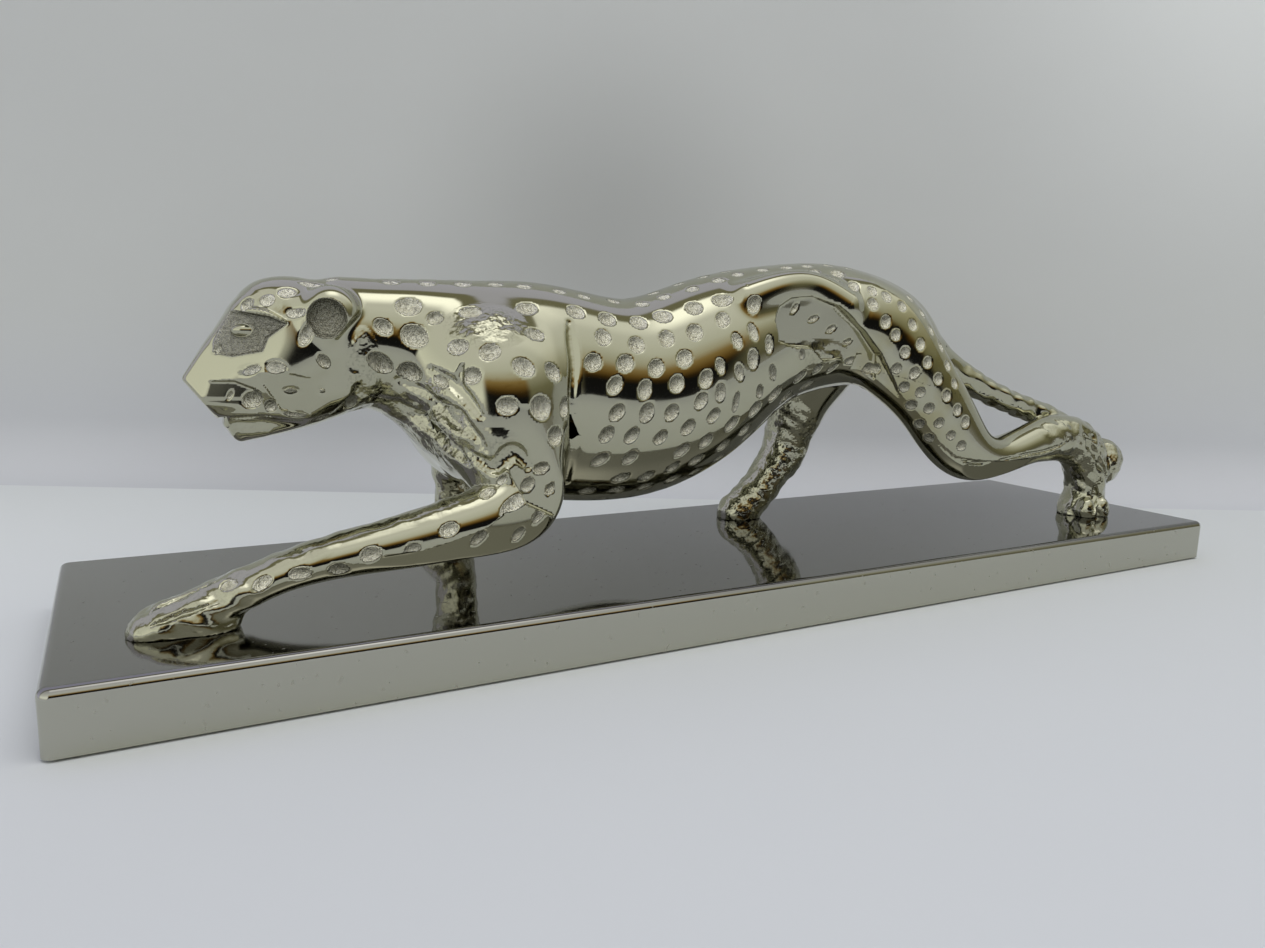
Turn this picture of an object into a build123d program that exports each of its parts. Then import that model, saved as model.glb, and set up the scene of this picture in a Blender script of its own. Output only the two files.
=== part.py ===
from build123d import *

import os

# Prowling spotted cat on a display plinth, as an assembly of separate castings, sheet metal and fasteners.
#
# Millimetres, +Z up. The origin is the centre of the plinth's underside, where the felt rests on the table.
# The cat faces -X, so its left side faces -Y. "Height" always means height above the plinth's top face.
#
# The cat is a hollow trunk casting with six solid castings welded to it: the head, four legs and the tail.
# Each one has a round spigot that enters an opening in the trunk's wall. A screw from below holds each paw.

# Plinth: a folded sheet shell over a board, with felt below.
PLINTH_LENGTH = 381.0
PLINTH_WIDTH = 101.6
PLINTH_HEIGHT = 14.6
SHEET = 1.0
TOP_EDGE_RADIUS = 2.0
CORNER_RADIUS = 2.5
SKIRT_GAP = 0.6
FELT_THICKNESS = 1.5
BOARD_CLEARANCE = 0.25

# Fasteners: one M4 pan head screw and washer for each paw.
SCREW_RADIUS = 2.0
SCREW_HEAD_RADIUS = 4.0
SCREW_HEAD_HEIGHT = 2.8
SCREW_REACH = 6.5
WASHER_RADIUS = 5.0
WASHER_THICKNESS = 1.0
CLEARANCE_HOLE_RADIUS = 2.25
COUNTERBORE_RADIUS = 6.5
COUNTERBORE_DEPTH = 6.0
THREAD_GAP = 0.02

# Cat: wall, weld gap and the spigots that locate each casting.
TRUNK_WALL = 4.0
WELD_GAP = 0.05
LEG_SPIGOT_RADIUS = 5.0
TAIL_SPIGOT_RADIUS = 3.0
NECK_SPIGOT_LENGTH = 8.0
SPIGOT_ROOT = 4.0
SPIGOT_GAP = 0.1

TOP = PLINTH_HEIGHT
BOARD_TOP = TOP - SHEET
NECK_X = -110.0

# Trunk stations from the neck to the rump: x, height of the back, height of the belly, half width.
TRUNK_STATIONS = [
    (NECK_X, 79.8, 46.0, 14.6),
    (-96, 80.4, 35.5, 19.5),
    (-80, 80.8, 25.0, 23.5),
    (-60, 79.4, 18.4, 24.5),
    (-40, 77.4, 17.2, 24.0),
    (-18, 82.0, 25.0, 23.0),
    (6, 88.4, 40.4, 21.6),
    (28, 91.0, 48.2, 21.2),
    (50, 89.6, 51.4, 20.8),
    (70, 83.0, 53.0, 17.0),
    (84, 74.0, 55.0, 11.0),
    (90, 69.5, 58.0, 6.0),
]
CAVITY_LAST_X = 72.0

# Each limb station: centre (x, y, height), the way the limb runs there (x, y, z), radius in the plane of the
# limb's bend, radius across it. A leg's y values are for a left leg; a right leg changes their sign.
LEFT_FORELEG = [
    ((-88, -8, 64), (0, -0.5, -1), 13.0, 8.0),
    ((-86, -16, 51), (0, -0.5, -1), 14.5, 9.5),
    ((-85, -22, 38), (-0.05, -0.3, -1), 13.5, 9.5),
    ((-84, -26, 25), (-0.4, -0.1, -1), 11.5, 9.0),
    ((-94, -27, 18), (-1, 0, -0.25), 8.0, 8.0),
    ((-114, -27, 16.5), (-1, 0, -0.02), 6.6, 7.0),
    ((-136, -26, 14.0), (-1, 0, -0.2), 6.0, 6.6),
    ((-152, -25.5, 9.0), (-1, 0, -0.42), 6.0, 6.8),
    ((-164, -25, 4.8), (-1, 0, -0.3), 4.6, 7.2),
    ((-173, -25, 2.4), (-1, 0, -0.2), 2.2, 4.5),
]
RIGHT_FORELEG = [
    ((-88, -8, 62), (0, -0.5, -1), 12.0, 8.0),
    ((-87, -16, 48), (0, -0.5, -1), 11.5, 8.5),
    ((-86, -22, 34), (0, -0.2, -1), 9.0, 8.0),
    ((-86, -23, 22), (0, 0, -1), 7.4, 7.3),
    ((-86.5, -23, 10), (0, 0, -1), 6.8, 6.7),
    ((-88, -23, 4), (-0.2, 0, -1), 8.4, 7.0),
    ((-89, -23, -0.5), (-0.2, 0, -1), 9.2, 7.2),
]
LEFT_HIND_LEG = [
    ((47, -6, 74), (0.5, -0.3, -1), 16.0, 8.0),
    ((57, -14, 62), (0.7, -0.3, -1), 18.0, 10.0),
    ((68, -19, 48), (0.8, -0.1, -1), 15.0, 9.5),
    ((80, -21, 36), (0.9, 0, -0.9), 12.0, 8.5),
    ((93, -21, 28), (1, 0, -0.3), 9.5, 8.0),
    ((110, -21, 28), (1, 0, 0.15), 7.4, 7.2),
    ((130, -20, 30), (1, 0, 0.1), 8.0, 7.2),
    ((148, -20, 27), (0.8, 0, -0.8), 10.0, 8.0),
    ((157, -20, 15), (0.1, 0, -1), 8.6, 8.2),
    ((156, -20, 7), (-0.1, 0, -1), 8.0, 7.8),
    ((154, -20, -0.5), (-0.1, 0, -1), 8.8, 8.0),
]
RIGHT_HIND_LEG = [
    ((48, -8, 67), (0.05, -0.4, -1), 15.0, 8.0),
    ((49, -17, 53), (0, -0.4, -1), 13.0, 9.0),
    ((48, -24, 38), (-0.1, -0.2, -1), 10.5, 8.6),
    ((44, -26, 25), (-0.35, 0, -1), 8.8, 8.0),
    ((38, -26, 14), (-0.7, 0, -1), 7.2, 7.2),
    ((30, -26, 4), (-0.6, 0, -1), 9.0, 6.8),
    ((27.5, -26, -0.5), (-0.1, 0, -1), 10.2, 6.8),
]
TAIL = [
    ((82, -2, 65), (1, 0, -0.8), 7.0, 7.5),
    ((96, -4, 55), (1, -0.1, -0.7), 5.8, 5.8),
    ((113, -8, 47), (1, -0.25, -0.45), 5.2, 5.2),
    ((132, -12, 41.5), (1, -0.25, -0.35), 5.2, 5.2),
    ((152, -17, 38.5), (1, -0.2, -0.6), 5.2, 5.4),
    ((165, -19.5, 29), (0.6, -0.05, -1), 5.6, 6.0),
    ((169.5, -20, 21.5), (0.2, 0, -1), 7.5, 7.0),
    ((169.5, -20, 15), (-0.2, 0, -1), 4.0, 4.0),
]

# Spigot ends, from inside each casting to inside the trunk: (x, y, height). A right leg changes the sign of y.
SPIGOT_ENDS = {
    "left_foreleg": ((-85, -27, 42), (-85, -12, 44)),
    "right_foreleg": ((-87, -24, 42), (-87, -11, 44)),
    "left_hind_leg": ((61, -17, 50), (58, -11, 67)),
    "right_hind_leg": ((49, -19, 46), (49, -11, 65)),
    "tail": ((97, -4, 55), (83, -2, 64)),
}

# Head stations from the neck to the nose: x, height of the top, height of the underside, half width.
HEAD_STATIONS = [
    (NECK_X - WELD_GAP, 79.7, 46.1, 14.5),
    (-120, 79.6, 46.4, 13.8),
    (-130, 79.6, 43.5, 15.5),
    (-138, 79.0, 41.0, 14.5),
    (-145, 75.5, 40.0, 11.5),
    (-151, 69.5, 42.0, 8.6),
    (-157, 61.0, 47.5, 5.5),
    (-162, 56.4, 53.0, 2.2),
]
EAR_CENTRE = (-127.5, 13.0, 72.0)
EAR_RADIUS = 6.5
EAR_THICKNESS = 5.0
EAR_CUP_DEPTH = 2.2

# Screw positions under each paw: x, y.
PAW_SCREWS = {
    "left_foreleg": (-161.0, -25.2),
    "right_foreleg": (-88.0, 23.0),
    "left_hind_leg": (155.0, -20.0),
    "right_hind_leg": (29.5, 26.0),
}


def mirrored(stations):
    """The same stations on the cat's other side."""
    return [((x, -y, h), (dx, -dy, dz), a, b) for (x, y, h), (dx, dy, dz), a, b in stations]


def limb(stations, grow=0.0):
    """A solid lofted through elliptical sections square to the limb, made larger all round by grow."""
    sections = []
    for (x, y, height), run, in_plane, across in stations:
        plane = Plane(origin=(x, y, TOP + height), x_dir=(0, 1, 0), z_dir=run)
        sections.append(plane * Ellipse(across + grow, in_plane + grow))
    return loft(sections)


def body_along_x(stations, shrink=0.0):
    """A solid lofted through upright elliptical sections, made smaller all round by shrink."""
    sections = []
    for x, top, bottom, half_width in stations:
        centre = (x, 0, TOP + (top + bottom) / 2)
        plane = Plane(origin=centre, x_dir=(0, 1, 0), z_dir=(1, 0, 0))
        sections.append(plane * Ellipse(half_width - shrink, (top - bottom) / 2 - shrink))
    return loft(sections)


def rod(start, direction, length, radius):
    """A cylinder from start along direction."""
    plane = Plane(origin=start, z_dir=direction)
    return plane * Cylinder(radius, length, align=(Align.CENTER, Align.CENTER, Align.MIN))


def above_plate(shape):
    """The part of shape that stands on the plinth's top face."""
    slab = Pos(0, 0, TOP + 100) * Box(2 * PLINTH_LENGTH, 2 * PLINTH_WIDTH, 200)
    return shape & slab


def spigot(name, extra=0.0):
    """The round spigot of a leg or the tail, larger all round by extra; its trunk end is longer by extra too."""
    side = -1 if name.startswith("right") else 1
    start, end = [Vector(x, side * y, TOP + height) for x, y, height in SPIGOT_ENDS[name]]
    radius = TAIL_SPIGOT_RADIUS if name == "tail" else LEG_SPIGOT_RADIUS
    return rod(start, end - start, (end - start).length + extra, radius + extra)


def neck_spigot():
    """The oval spigot of the head, which fills the trunk's open neck."""
    _, top, bottom, half_width = TRUNK_STATIONS[0]
    plane = Plane(origin=(NECK_X - SPIGOT_ROOT, 0, TOP + (top + bottom) / 2), x_dir=(0, 1, 0), z_dir=(1, 0, 0))
    inset = TRUNK_WALL + SPIGOT_GAP
    oval = plane * Ellipse(half_width - inset, (top - bottom) / 2 - inset)
    return extrude(oval, SPIGOT_ROOT + NECK_SPIGOT_LENGTH)


def trunk_casting():
    """The hollow chest, belly and rump, open at the neck, with an opening for each spigot."""
    cavity_stations = [s for s in TRUNK_STATIONS if s[0] < CAVITY_LAST_X]
    trunk = body_along_x(TRUNK_STATIONS) - body_along_x(cavity_stations, TRUNK_WALL)
    for name in SPIGOT_ENDS:
        trunk -= spigot(name, SPIGOT_GAP)
    return trunk


def leg_casting(name):
    """One solid leg, shaped to the trunk where it is welded on, with a tapped hole in the paw's sole."""
    leg = above_plate(limb(LEGS[name])) - body_along_x(TRUNK_STATIONS, -WELD_GAP)
    leg = max(leg.solids(), key=lambda solid: solid.volume)
    leg += spigot(name)
    x, y = PAW_SCREWS[name]
    return leg - rod((x, y, TOP - 1), (0, 0, 1), 1 + SCREW_REACH + 0.5, SCREW_RADIUS + THREAD_GAP)


def tail_casting():
    """The tail, shaped to the rump at its root and to the left hock at its tip."""
    tail = limb(TAIL) - body_along_x(TRUNK_STATIONS, -WELD_GAP) - limb(LEFT_HIND_LEG, WELD_GAP)
    tail = max(tail.solids(), key=lambda solid: solid.volume)
    return tail + spigot("tail")


def head_casting():
    """The head with its two cupped ears and the spigot at the neck."""
    head = body_along_x(HEAD_STATIONS)
    for side in (-1, 1):
        x, y, height = EAR_CENTRE
        outward = Plane(origin=(x, side * y, TOP + height), z_dir=(-0.45, side, 0.25))
        ear = outward * Cylinder(EAR_RADIUS, EAR_THICKNESS)
        cup_radius = EAR_RADIUS - 1.2
        cup = outward * Pos(0, 0, EAR_THICKNESS / 2) * Cylinder(cup_radius, 2 * EAR_CUP_DEPTH)
        head = head + ear - cup
    return head + neck_spigot()


def rounded_block(length, width, bottom, top, corner_radius, top_radius):
    """A block centred on Z with rounded upright corners and a rounded top edge."""
    block = Pos(0, 0, bottom) * Box(length, width, top - bottom, align=(Align.CENTER, Align.CENTER, Align.MIN))
    block = fillet(block.edges().filter_by(Axis.Z), corner_radius)
    if top_radius > 0:
        block = fillet(block.faces().sort_by(Axis.Z)[-1].edges(), top_radius)
    return block


def base_shell():
    """The folded and welded sheet tray that shows: top face and four skirts, with a hole under each paw."""
    outer = rounded_block(PLINTH_LENGTH, PLINTH_WIDTH, SKIRT_GAP, TOP, CORNER_RADIUS, TOP_EDGE_RADIUS)
    inner = rounded_block(
        PLINTH_LENGTH - 2 * SHEET,
        PLINTH_WIDTH - 2 * SHEET,
        SKIRT_GAP - 1,
        BOARD_TOP,
        CORNER_RADIUS - SHEET,
        TOP_EDGE_RADIUS - SHEET,
    )
    shell = outer - inner
    for x, y in PAW_SCREWS.values():
        shell -= rod((x, y, BOARD_TOP - 1), (0, 0, 1), SHEET + 2, CLEARANCE_HOLE_RADIUS)
    return shell


def base_core():
    """The board inside the shell, counterbored from below for each screw's head."""
    board = rounded_block(
        PLINTH_LENGTH - 2 * (SHEET + BOARD_CLEARANCE),
        PLINTH_WIDTH - 2 * (SHEET + BOARD_CLEARANCE),
        FELT_THICKNESS,
        BOARD_TOP,
        CORNER_RADIUS - SHEET,
        TOP_EDGE_RADIUS - SHEET,
    )
    for x, y in PAW_SCREWS.values():
        board -= rod((x, y, FELT_THICKNESS - 1), (0, 0, 1), TOP, CLEARANCE_HOLE_RADIUS)
        board -= rod((x, y, FELT_THICKNESS - 1), (0, 0, 1), 1 + COUNTERBORE_DEPTH, COUNTERBORE_RADIUS)
    return board


def base_felt():
    """The felt sheet glued under the board, standing a little below the skirts."""
    length = PLINTH_LENGTH - 2 * (SHEET + BOARD_CLEARANCE)
    width = PLINTH_WIDTH - 2 * (SHEET + BOARD_CLEARANCE)
    return rounded_block(length, width, 0, FELT_THICKNESS, CORNER_RADIUS - SHEET, 0)


def paw_washers():
    """Four flat washers, each at the end of a counterbore."""
    seat = FELT_THICKNESS + COUNTERBORE_DEPTH
    washers = []
    for x, y in PAW_SCREWS.values():
        disc = rod((x, y, seat - WASHER_THICKNESS), (0, 0, 1), WASHER_THICKNESS, WASHER_RADIUS)
        washers.append(disc - rod((x, y, seat - 2), (0, 0, 1), 4, CLEARANCE_HOLE_RADIUS))
    return Compound(children=washers)


def paw_screws():
    """Four pan head screws, from the washers up into the paws."""
    under_head = FELT_THICKNESS + COUNTERBORE_DEPTH - WASHER_THICKNESS
    screws = []
    for x, y in PAW_SCREWS.values():
        shank = rod((x, y, under_head), (0, 0, 1), TOP + SCREW_REACH - under_head, SCREW_RADIUS)
        head = rod((x, y, under_head), (0, 0, -1), SCREW_HEAD_HEIGHT, SCREW_HEAD_RADIUS)
        head = fillet(head.faces().sort_by(Axis.Z)[0].edges(), 1.2)
        slot = Pos(x, y, under_head - SCREW_HEAD_HEIGHT) * Box(2 * SCREW_HEAD_RADIUS, 1.0, 2.4)
        screws.append(shank + head - slot)
    return Compound(children=screws)


LEGS = {
    "left_foreleg": LEFT_FORELEG,
    "right_foreleg": mirrored(RIGHT_FORELEG),
    "left_hind_leg": LEFT_HIND_LEG,
    "right_hind_leg": mirrored(RIGHT_HIND_LEG),
}

PARTS = {
    "base_shell": base_shell,
    "base_core": base_core,
    "base_felt": base_felt,
    "paw_washers": paw_washers,
    "paw_screws": paw_screws,
    "trunk_casting": trunk_casting,
    "head_casting": head_casting,
    "tail_casting": tail_casting,
}

os.makedirs("parts", exist_ok=True)
for node, make in PARTS.items():
    export_step(make(), f"parts/{node}.step")
for leg_name in LEGS:
    export_step(leg_casting(leg_name), f"parts/{leg_name}.step")
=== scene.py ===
"""Prowling spotted cat in polished cast metal on a mirror-polished plinth.

The cat is carved as one signed-distance field, in millimetres, with x along the plinth from the head to the
tail, y across it (the near side is negative) and h as the height above the plinth's top face. The field's
skin becomes a mesh, which is then split into the castings that the CAD frame names.
"""

import math

import bmesh
import bpy
import numpy as np
from mathutils import Matrix, Vector


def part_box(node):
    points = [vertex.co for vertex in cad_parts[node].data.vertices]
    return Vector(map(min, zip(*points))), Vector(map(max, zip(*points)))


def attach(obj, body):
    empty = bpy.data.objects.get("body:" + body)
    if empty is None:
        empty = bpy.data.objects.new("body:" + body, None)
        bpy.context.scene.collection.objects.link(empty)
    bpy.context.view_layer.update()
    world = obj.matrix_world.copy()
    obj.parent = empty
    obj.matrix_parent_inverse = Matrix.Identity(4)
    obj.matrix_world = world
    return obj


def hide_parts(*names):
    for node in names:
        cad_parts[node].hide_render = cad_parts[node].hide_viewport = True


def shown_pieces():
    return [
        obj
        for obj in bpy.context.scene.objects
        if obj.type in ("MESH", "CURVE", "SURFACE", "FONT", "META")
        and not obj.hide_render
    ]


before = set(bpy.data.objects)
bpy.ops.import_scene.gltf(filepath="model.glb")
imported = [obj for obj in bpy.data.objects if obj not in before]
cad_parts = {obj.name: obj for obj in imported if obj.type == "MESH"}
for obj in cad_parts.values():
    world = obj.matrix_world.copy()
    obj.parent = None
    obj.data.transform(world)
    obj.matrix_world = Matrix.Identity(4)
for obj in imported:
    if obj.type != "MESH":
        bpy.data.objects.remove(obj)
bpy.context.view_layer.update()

MM = 0.001
PLATE_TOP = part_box("base_shell")[1].z

# Mesh fineness, in millimetres. The head, in front of the neck's seam and above its floor, has finer cells.
BODY_CELL = 0.68
HEAD_CELL = 0.4
NECK_SEAM = -114.0
HEAD_FLOOR = 34.0
BODY_BOX = ((-180, -40, -1.5), (182, 40, 94))
HEAD_BOX = ((-168, -22, HEAD_FLOOR), (NECK_SEAM + 3, 22, 86))
# The field is sampled in blocks of cells, each with only the shapes within its reach and a margin.
BLOCK_CELLS = 16
BLOCK_MARGIN = 2.0
# Points are settled in larger blocks, of this many millimetres.
SETTLING_BLOCK = 10.0
SETTLING_REACH = 0.9 * SETTLING_BLOCK + 1.5
FAR = 50.0
SEED = 7

# The camera: place in metres, direction, up, and focal length in millimetres on a 36 mm wide sensor.
CAMERA_PLACE = (-0.17374, -0.24520, 0.08585)
CAMERA_AHEAD = (0.48503, 0.85862, -0.16589)
CAMERA_UP = (0.05838, 0.15748, 0.98579)
CAMERA_LENS = 26.14

# --------------------------------------------------------------------------------------------------------
# Distance fields. A point array has one row per point: x, y, h.
# --------------------------------------------------------------------------------------------------------


def smooth_min(a, b, blend):
    """The smaller of two distances, rounded over where they are within blend of each other."""
    share = np.clip(0.5 + 0.5 * (b - a) / blend, 0, 1)
    return b + (a - b) * share - blend * share * (1 - share)


def smooth_curve(stations, step=1.0):
    """Evenly spaced samples of a natural cubic spline through the stations."""
    points = np.array(stations, float)
    chord = np.linalg.norm(np.diff(points[:, :3], axis=0), axis=1)
    at = np.concatenate([[0], np.cumsum(chord)])
    count = len(at)
    matrix = np.eye(count)
    rhs = np.zeros_like(points)
    for i in range(1, count - 1):
        before = chord[i - 1]
        after = chord[i]
        matrix[i, i - 1 : i + 2] = before, 2 * (before + after), after
        rhs[i] = 6 * ((points[i + 1] - points[i]) / after - (points[i] - points[i - 1]) / before)
    bend = np.linalg.solve(matrix, rhs)
    t = np.linspace(0, at[-1], int(at[-1] / step) + 2)
    i = np.clip(np.searchsorted(at, t, side="right") - 1, 0, count - 2)
    span = chord[i][:, None]
    a = (at[i + 1] - t)[:, None] / span
    b = 1 - a
    curved = ((a**3 - a) * bend[i] + (b**3 - b) * bend[i + 1]) * span**2 / 6
    return a * points[i] + b * points[i + 1] + curved


class Sweep:
    """A limb: ellipsoids along a smooth curve.

    Stations are (x, y, h, radius in the x-h plane, radius in y).
    """

    def __init__(self, stations, samples=None):
        self.samples = smooth_curve(stations) if samples is None else samples
        self.size = self.samples[:, 3:].max()

    def near(self, centre, reach):
        gap = np.linalg.norm(self.samples[:, :3] - centre, axis=1) - self.samples[:, 3:].max(axis=1)
        hit = np.flatnonzero(gap < reach)
        if len(hit) == 0:
            return None
        return Sweep(None, self.samples[max(hit[0] - 2, 0) : hit[-1] + 3])

    def distance(self, p):
        s = self.samples
        flat = (p[:, 0:1] - s[:, 0]) ** 2 + (p[:, 2:3] - s[:, 2]) ** 2
        side = (p[:, 1:2] - s[:, 1]) ** 2
        height2 = s[:, 3] ** 2
        width2 = s[:, 4] ** 2
        k0 = np.sqrt(flat / height2 + side / width2)
        k1 = np.sqrt(flat / height2**2 + side / width2**2)
        d = k0 * (k0 - 1) / (k1 + 1e-6)
        best = np.argmin(d, axis=1)
        rows = np.arange(len(p))
        least = d[rows, best]
        if len(s) < 3:
            return least
        inner = np.clip(best, 1, len(s) - 2)
        low = d[rows, inner - 1]
        mid = d[rows, inner]
        high = d[rows, inner + 1]
        curve = np.maximum(low - 2 * mid + high, 1e-9)
        return np.where(inner == best, mid - (high - low) ** 2 / (8 * curve), least)


class Blob:
    """An ellipsoid. axes holds its own x, y and h directions as rows."""

    def __init__(self, centre, radii, axes=None):
        self.centre = np.array(centre, float)
        self.radii = np.array(radii, float)
        self.axes = np.eye(3) if axes is None else np.array(axes, float)
        self.size = self.radii.max()

    def near(self, centre, reach):
        return self if np.linalg.norm(self.centre - centre) - self.size < reach else None

    def distance(self, p):
        q = (p - self.centre) @ self.axes.T / self.radii
        k0 = np.sqrt((q * q).sum(axis=1))
        k1 = np.sqrt(((q / self.radii) ** 2).sum(axis=1))
        return k0 * (k0 - 1) / (k1 + 1e-6)


class Scoops:
    """Many ellipsoids as one shape."""

    def __init__(self, centres, radii, axes):
        self.centres = centres
        self.radii = radii
        self.axes = axes

    def near(self, centre, reach):
        keep = np.linalg.norm(self.centres - centre, axis=1) - self.radii.max(axis=1) < reach
        return Scoops(self.centres[keep], self.radii[keep], self.axes[keep]) if keep.any() else None

    def distance(self, p):
        least = np.full(len(p), FAR)
        for centre, radii, axes in zip(self.centres, self.radii, self.axes):
            least = np.minimum(least, Blob(centre, radii, axes).distance(p))
        return least


class Beyond:
    """Everything on the outer side of a plane, within an outline in the x-h plane if there is one."""

    def __init__(self, point, normal, outline=None, soft=0.6):
        self.point = np.array(point, float)
        self.normal = np.array(normal, float) / np.linalg.norm(normal)
        self.outline = None if outline is None else np.array(outline, float)
        self.soft = soft

    def near(self, centre, reach):
        if (self.point - centre) @ self.normal > reach:
            return None
        if self.outline is not None and outline_distance(centre[None, [0, 2]], self.outline)[0] > reach:
            return None
        return self

    def distance(self, p):
        d = (self.point - p) @ self.normal
        if self.outline is None:
            return d
        return -smooth_min(-d, -outline_distance(p[:, [0, 2]], self.outline), self.soft)


def outline_distance(q, outline):
    """Signed distance from points in the x-h plane to a closed outline, negative inside."""
    least = np.full(len(q), 1e9)
    inside = np.zeros(len(q), bool)
    for a, b in zip(outline, np.roll(outline, -1, axis=0)):
        run = b - a
        t = np.clip((q - a) @ run / (run @ run), 0, 1)
        least = np.minimum(least, ((q - a - t[:, None] * run) ** 2).sum(axis=1))
        crosses = (a[1] > q[:, 1]) != (b[1] > q[:, 1])
        rise = b[1] - a[1] if b[1] != a[1] else 1e-9
        inside ^= crosses & (q[:, 0] < run[0] * (q[:, 1] - a[1]) / rise + a[0])
    return np.where(inside, -1, 1) * np.sqrt(least)


class Carving:
    """Shapes added and cut in order: (shape, blend, +1 or -1).

    A mirrored carving is the same for +y and -y.
    """

    def __init__(self, steps, mirrored=False):
        self.steps = steps
        self.mirrored = mirrored

    def near(self, centre, reach):
        if self.mirrored:
            centre = centre * (1, 0, 1) + (0, abs(centre[1]), 0)
        kept = [(shape.near(centre, reach + blend), blend, sign) for shape, blend, sign in self.steps]
        kept = [step for step in kept if step[0] is not None]
        if not any(sign > 0 for _, _, sign in kept):
            return None
        return Carving(kept, self.mirrored)

    def distance(self, p):
        if self.mirrored:
            p = np.column_stack([p[:, 0], np.abs(p[:, 1]), p[:, 2]])
        total = np.full(len(p), FAR)
        for shape, blend, sign in self.steps:
            d = shape.distance(p)
            if sign > 0:
                total = smooth_min(total, d, blend)
            else:
                total = -smooth_min(-total, d, blend)
        return total


class Lumps:
    """Adds waves to a carving's skin inside soft-edged zones: (zone shape, soft edge, height)."""

    def __init__(self, inner, zones, waves):
        self.inner = inner
        self.zones = zones
        self.waves = waves

    def near(self, centre, reach):
        inner = self.inner.near(centre, reach)
        if inner is None:
            return None
        zones = [(zone.near(centre, reach), soft, height) for zone, soft, height in self.zones]
        return Lumps(inner, [zone for zone in zones if zone[0] is not None], self.waves)

    def distance(self, p):
        total = self.inner.distance(p)
        if self.zones:
            wave = np.sin(p @ self.waves[:, :3].T + self.waves[:, 3]).mean(axis=1) * 2
            for zone, soft, height in self.zones:
                total = total + height * wave * np.clip(-zone.distance(p) / soft, 0, 1)
        return total


def random_waves(rng, count, shortest, longest):
    """Wave vectors and phases for Lumps, with wavelengths in millimetres."""
    ways = rng.normal(size=(count, 3))
    ways /= np.linalg.norm(ways, axis=1)[:, None]
    lengths = rng.uniform(shortest, longest, count)
    return np.column_stack([ways * (2 * math.pi / lengths)[:, None], rng.uniform(0, 2 * math.pi, count)])


def gradient(shape, p, step=0.05):
    """The direction in which a field grows, not scaled to unit length."""
    corners = np.array([[1, -1, -1], [-1, -1, 1], [-1, 1, -1], [1, 1, 1]], float)
    total = np.zeros_like(p)
    for corner in corners:
        total += corner * shape.distance(p + corner * step)[:, None]
    return total / (4 * step)


def unit(v):
    return v / (np.linalg.norm(v, axis=-1, keepdims=True) + 1e-9)


RAY_STEPS = 60
RAY_CAUTION = 0.85
RAY_LENGTH = 90


def first_hits(shape, starts, ways):
    """Where rays first meet a shape, and its outward normals there. Rows are NaN where a ray misses."""
    starts = np.array(starts, float)
    ways = unit(np.array(ways, float))
    gone = np.zeros(len(starts))
    going = np.arange(len(starts))
    for _ in range(RAY_STEPS):
        gap = shape.distance(starts[going] + gone[going, None] * ways[going])
        gone[going] += RAY_CAUTION * np.clip(gap, -2, 12)
        going = going[(np.abs(gap) > 0.01) & (gone[going] < RAY_LENGTH)]
        if len(going) == 0:
            break
    points = starts + gone[:, None] * ways
    normals = unit(gradient(shape, points))
    missed = np.abs(shape.distance(points)) > 0.2
    points[missed] = np.nan
    return points, normals


# --------------------------------------------------------------------------------------------------------
# The cat's shapes
# --------------------------------------------------------------------------------------------------------

TRUNK = [
    (-122, 0, 63.5, 16.5, 13.5),
    (-113, 0, 63.0, 17.0, 13.8),
    (-104, 0, 61.5, 18.8, 15.0),
    (-94, 0, 58.5, 22.0, 18.0),
    (-83, 0, 54.3, 26.4, 21.5),
    (-70, 0, 50.6, 30.2, 23.0),
    (-56, 0, 48.1, 30.6, 23.2),
    (-40, 0, 47.1, 30.2, 23.2),
    (-24, 0, 50.6, 29.4, 22.8),
    (-8, 0, 58.2, 27.0, 21.8),
    (6, 0, 64.5, 23.9, 20.5),
    (20, 0, 68.3, 22.0, 20.0),
    (34, 0, 70.3, 21.0, 20.0),
    (48, 0, 70.4, 19.5, 20.0),
    (60, 0, 69.4, 17.6, 18.5),
    (70, 0, 66.6, 15.4, 15.5),
    (79, 0, 62.8, 12.2, 12.0),
    (86, -1, 59.8, 9.4, 9.0),
]
TAIL = [
    (82, -1, 61.5, 10, 9.5),
    (92, -3, 57.4, 7.2, 7.2),
    (102, -5.5, 52.8, 5.4, 5.8),
    (113, -8.5, 47.9, 4.6, 5.0),
    (124, -11, 43.6, 4.5, 4.8),
    (135, -12.5, 40.2, 4.6, 4.8),
    (146, -14.5, 35.6, 5.0, 5.2),
    (155, -17, 30.8, 4.8, 5.0),
    (163, -18.5, 25.5, 4.8, 5.2),
    (168, -19, 22, 5.5, 5.5),
]
LEFT_FORELEG = [
    (-88, -11, 56, 14, 9.5),
    (-87, -17, 52, 15, 10.5),
    (-85, -20, 42, 14.8, 10.3),
    (-83, -22.6, 32, 13.2, 9.2),
    (-83, -25.0, 24.0, 11.2, 8.2),
    (-91, -26.5, 20.0, 9.4, 8.2),
    (-101, -27, 18.2, 8.0, 7.8),
    (-115, -27, 16.0, 6.6, 7.0),
    (-133, -26, 13.4, 5.1, 6.4),
    (-146, -25.5, 10.0, 4.6, 6.2),
    (-154, -25.3, 6.8, 4.8, 6.6),
    (-162, -25, 3.8, 4.9, 7.0),
    (-169, -25, 1.8, 4.3, 6.4),
    (-172, -25, 0.8, 3.2, 4.8),
]
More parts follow.
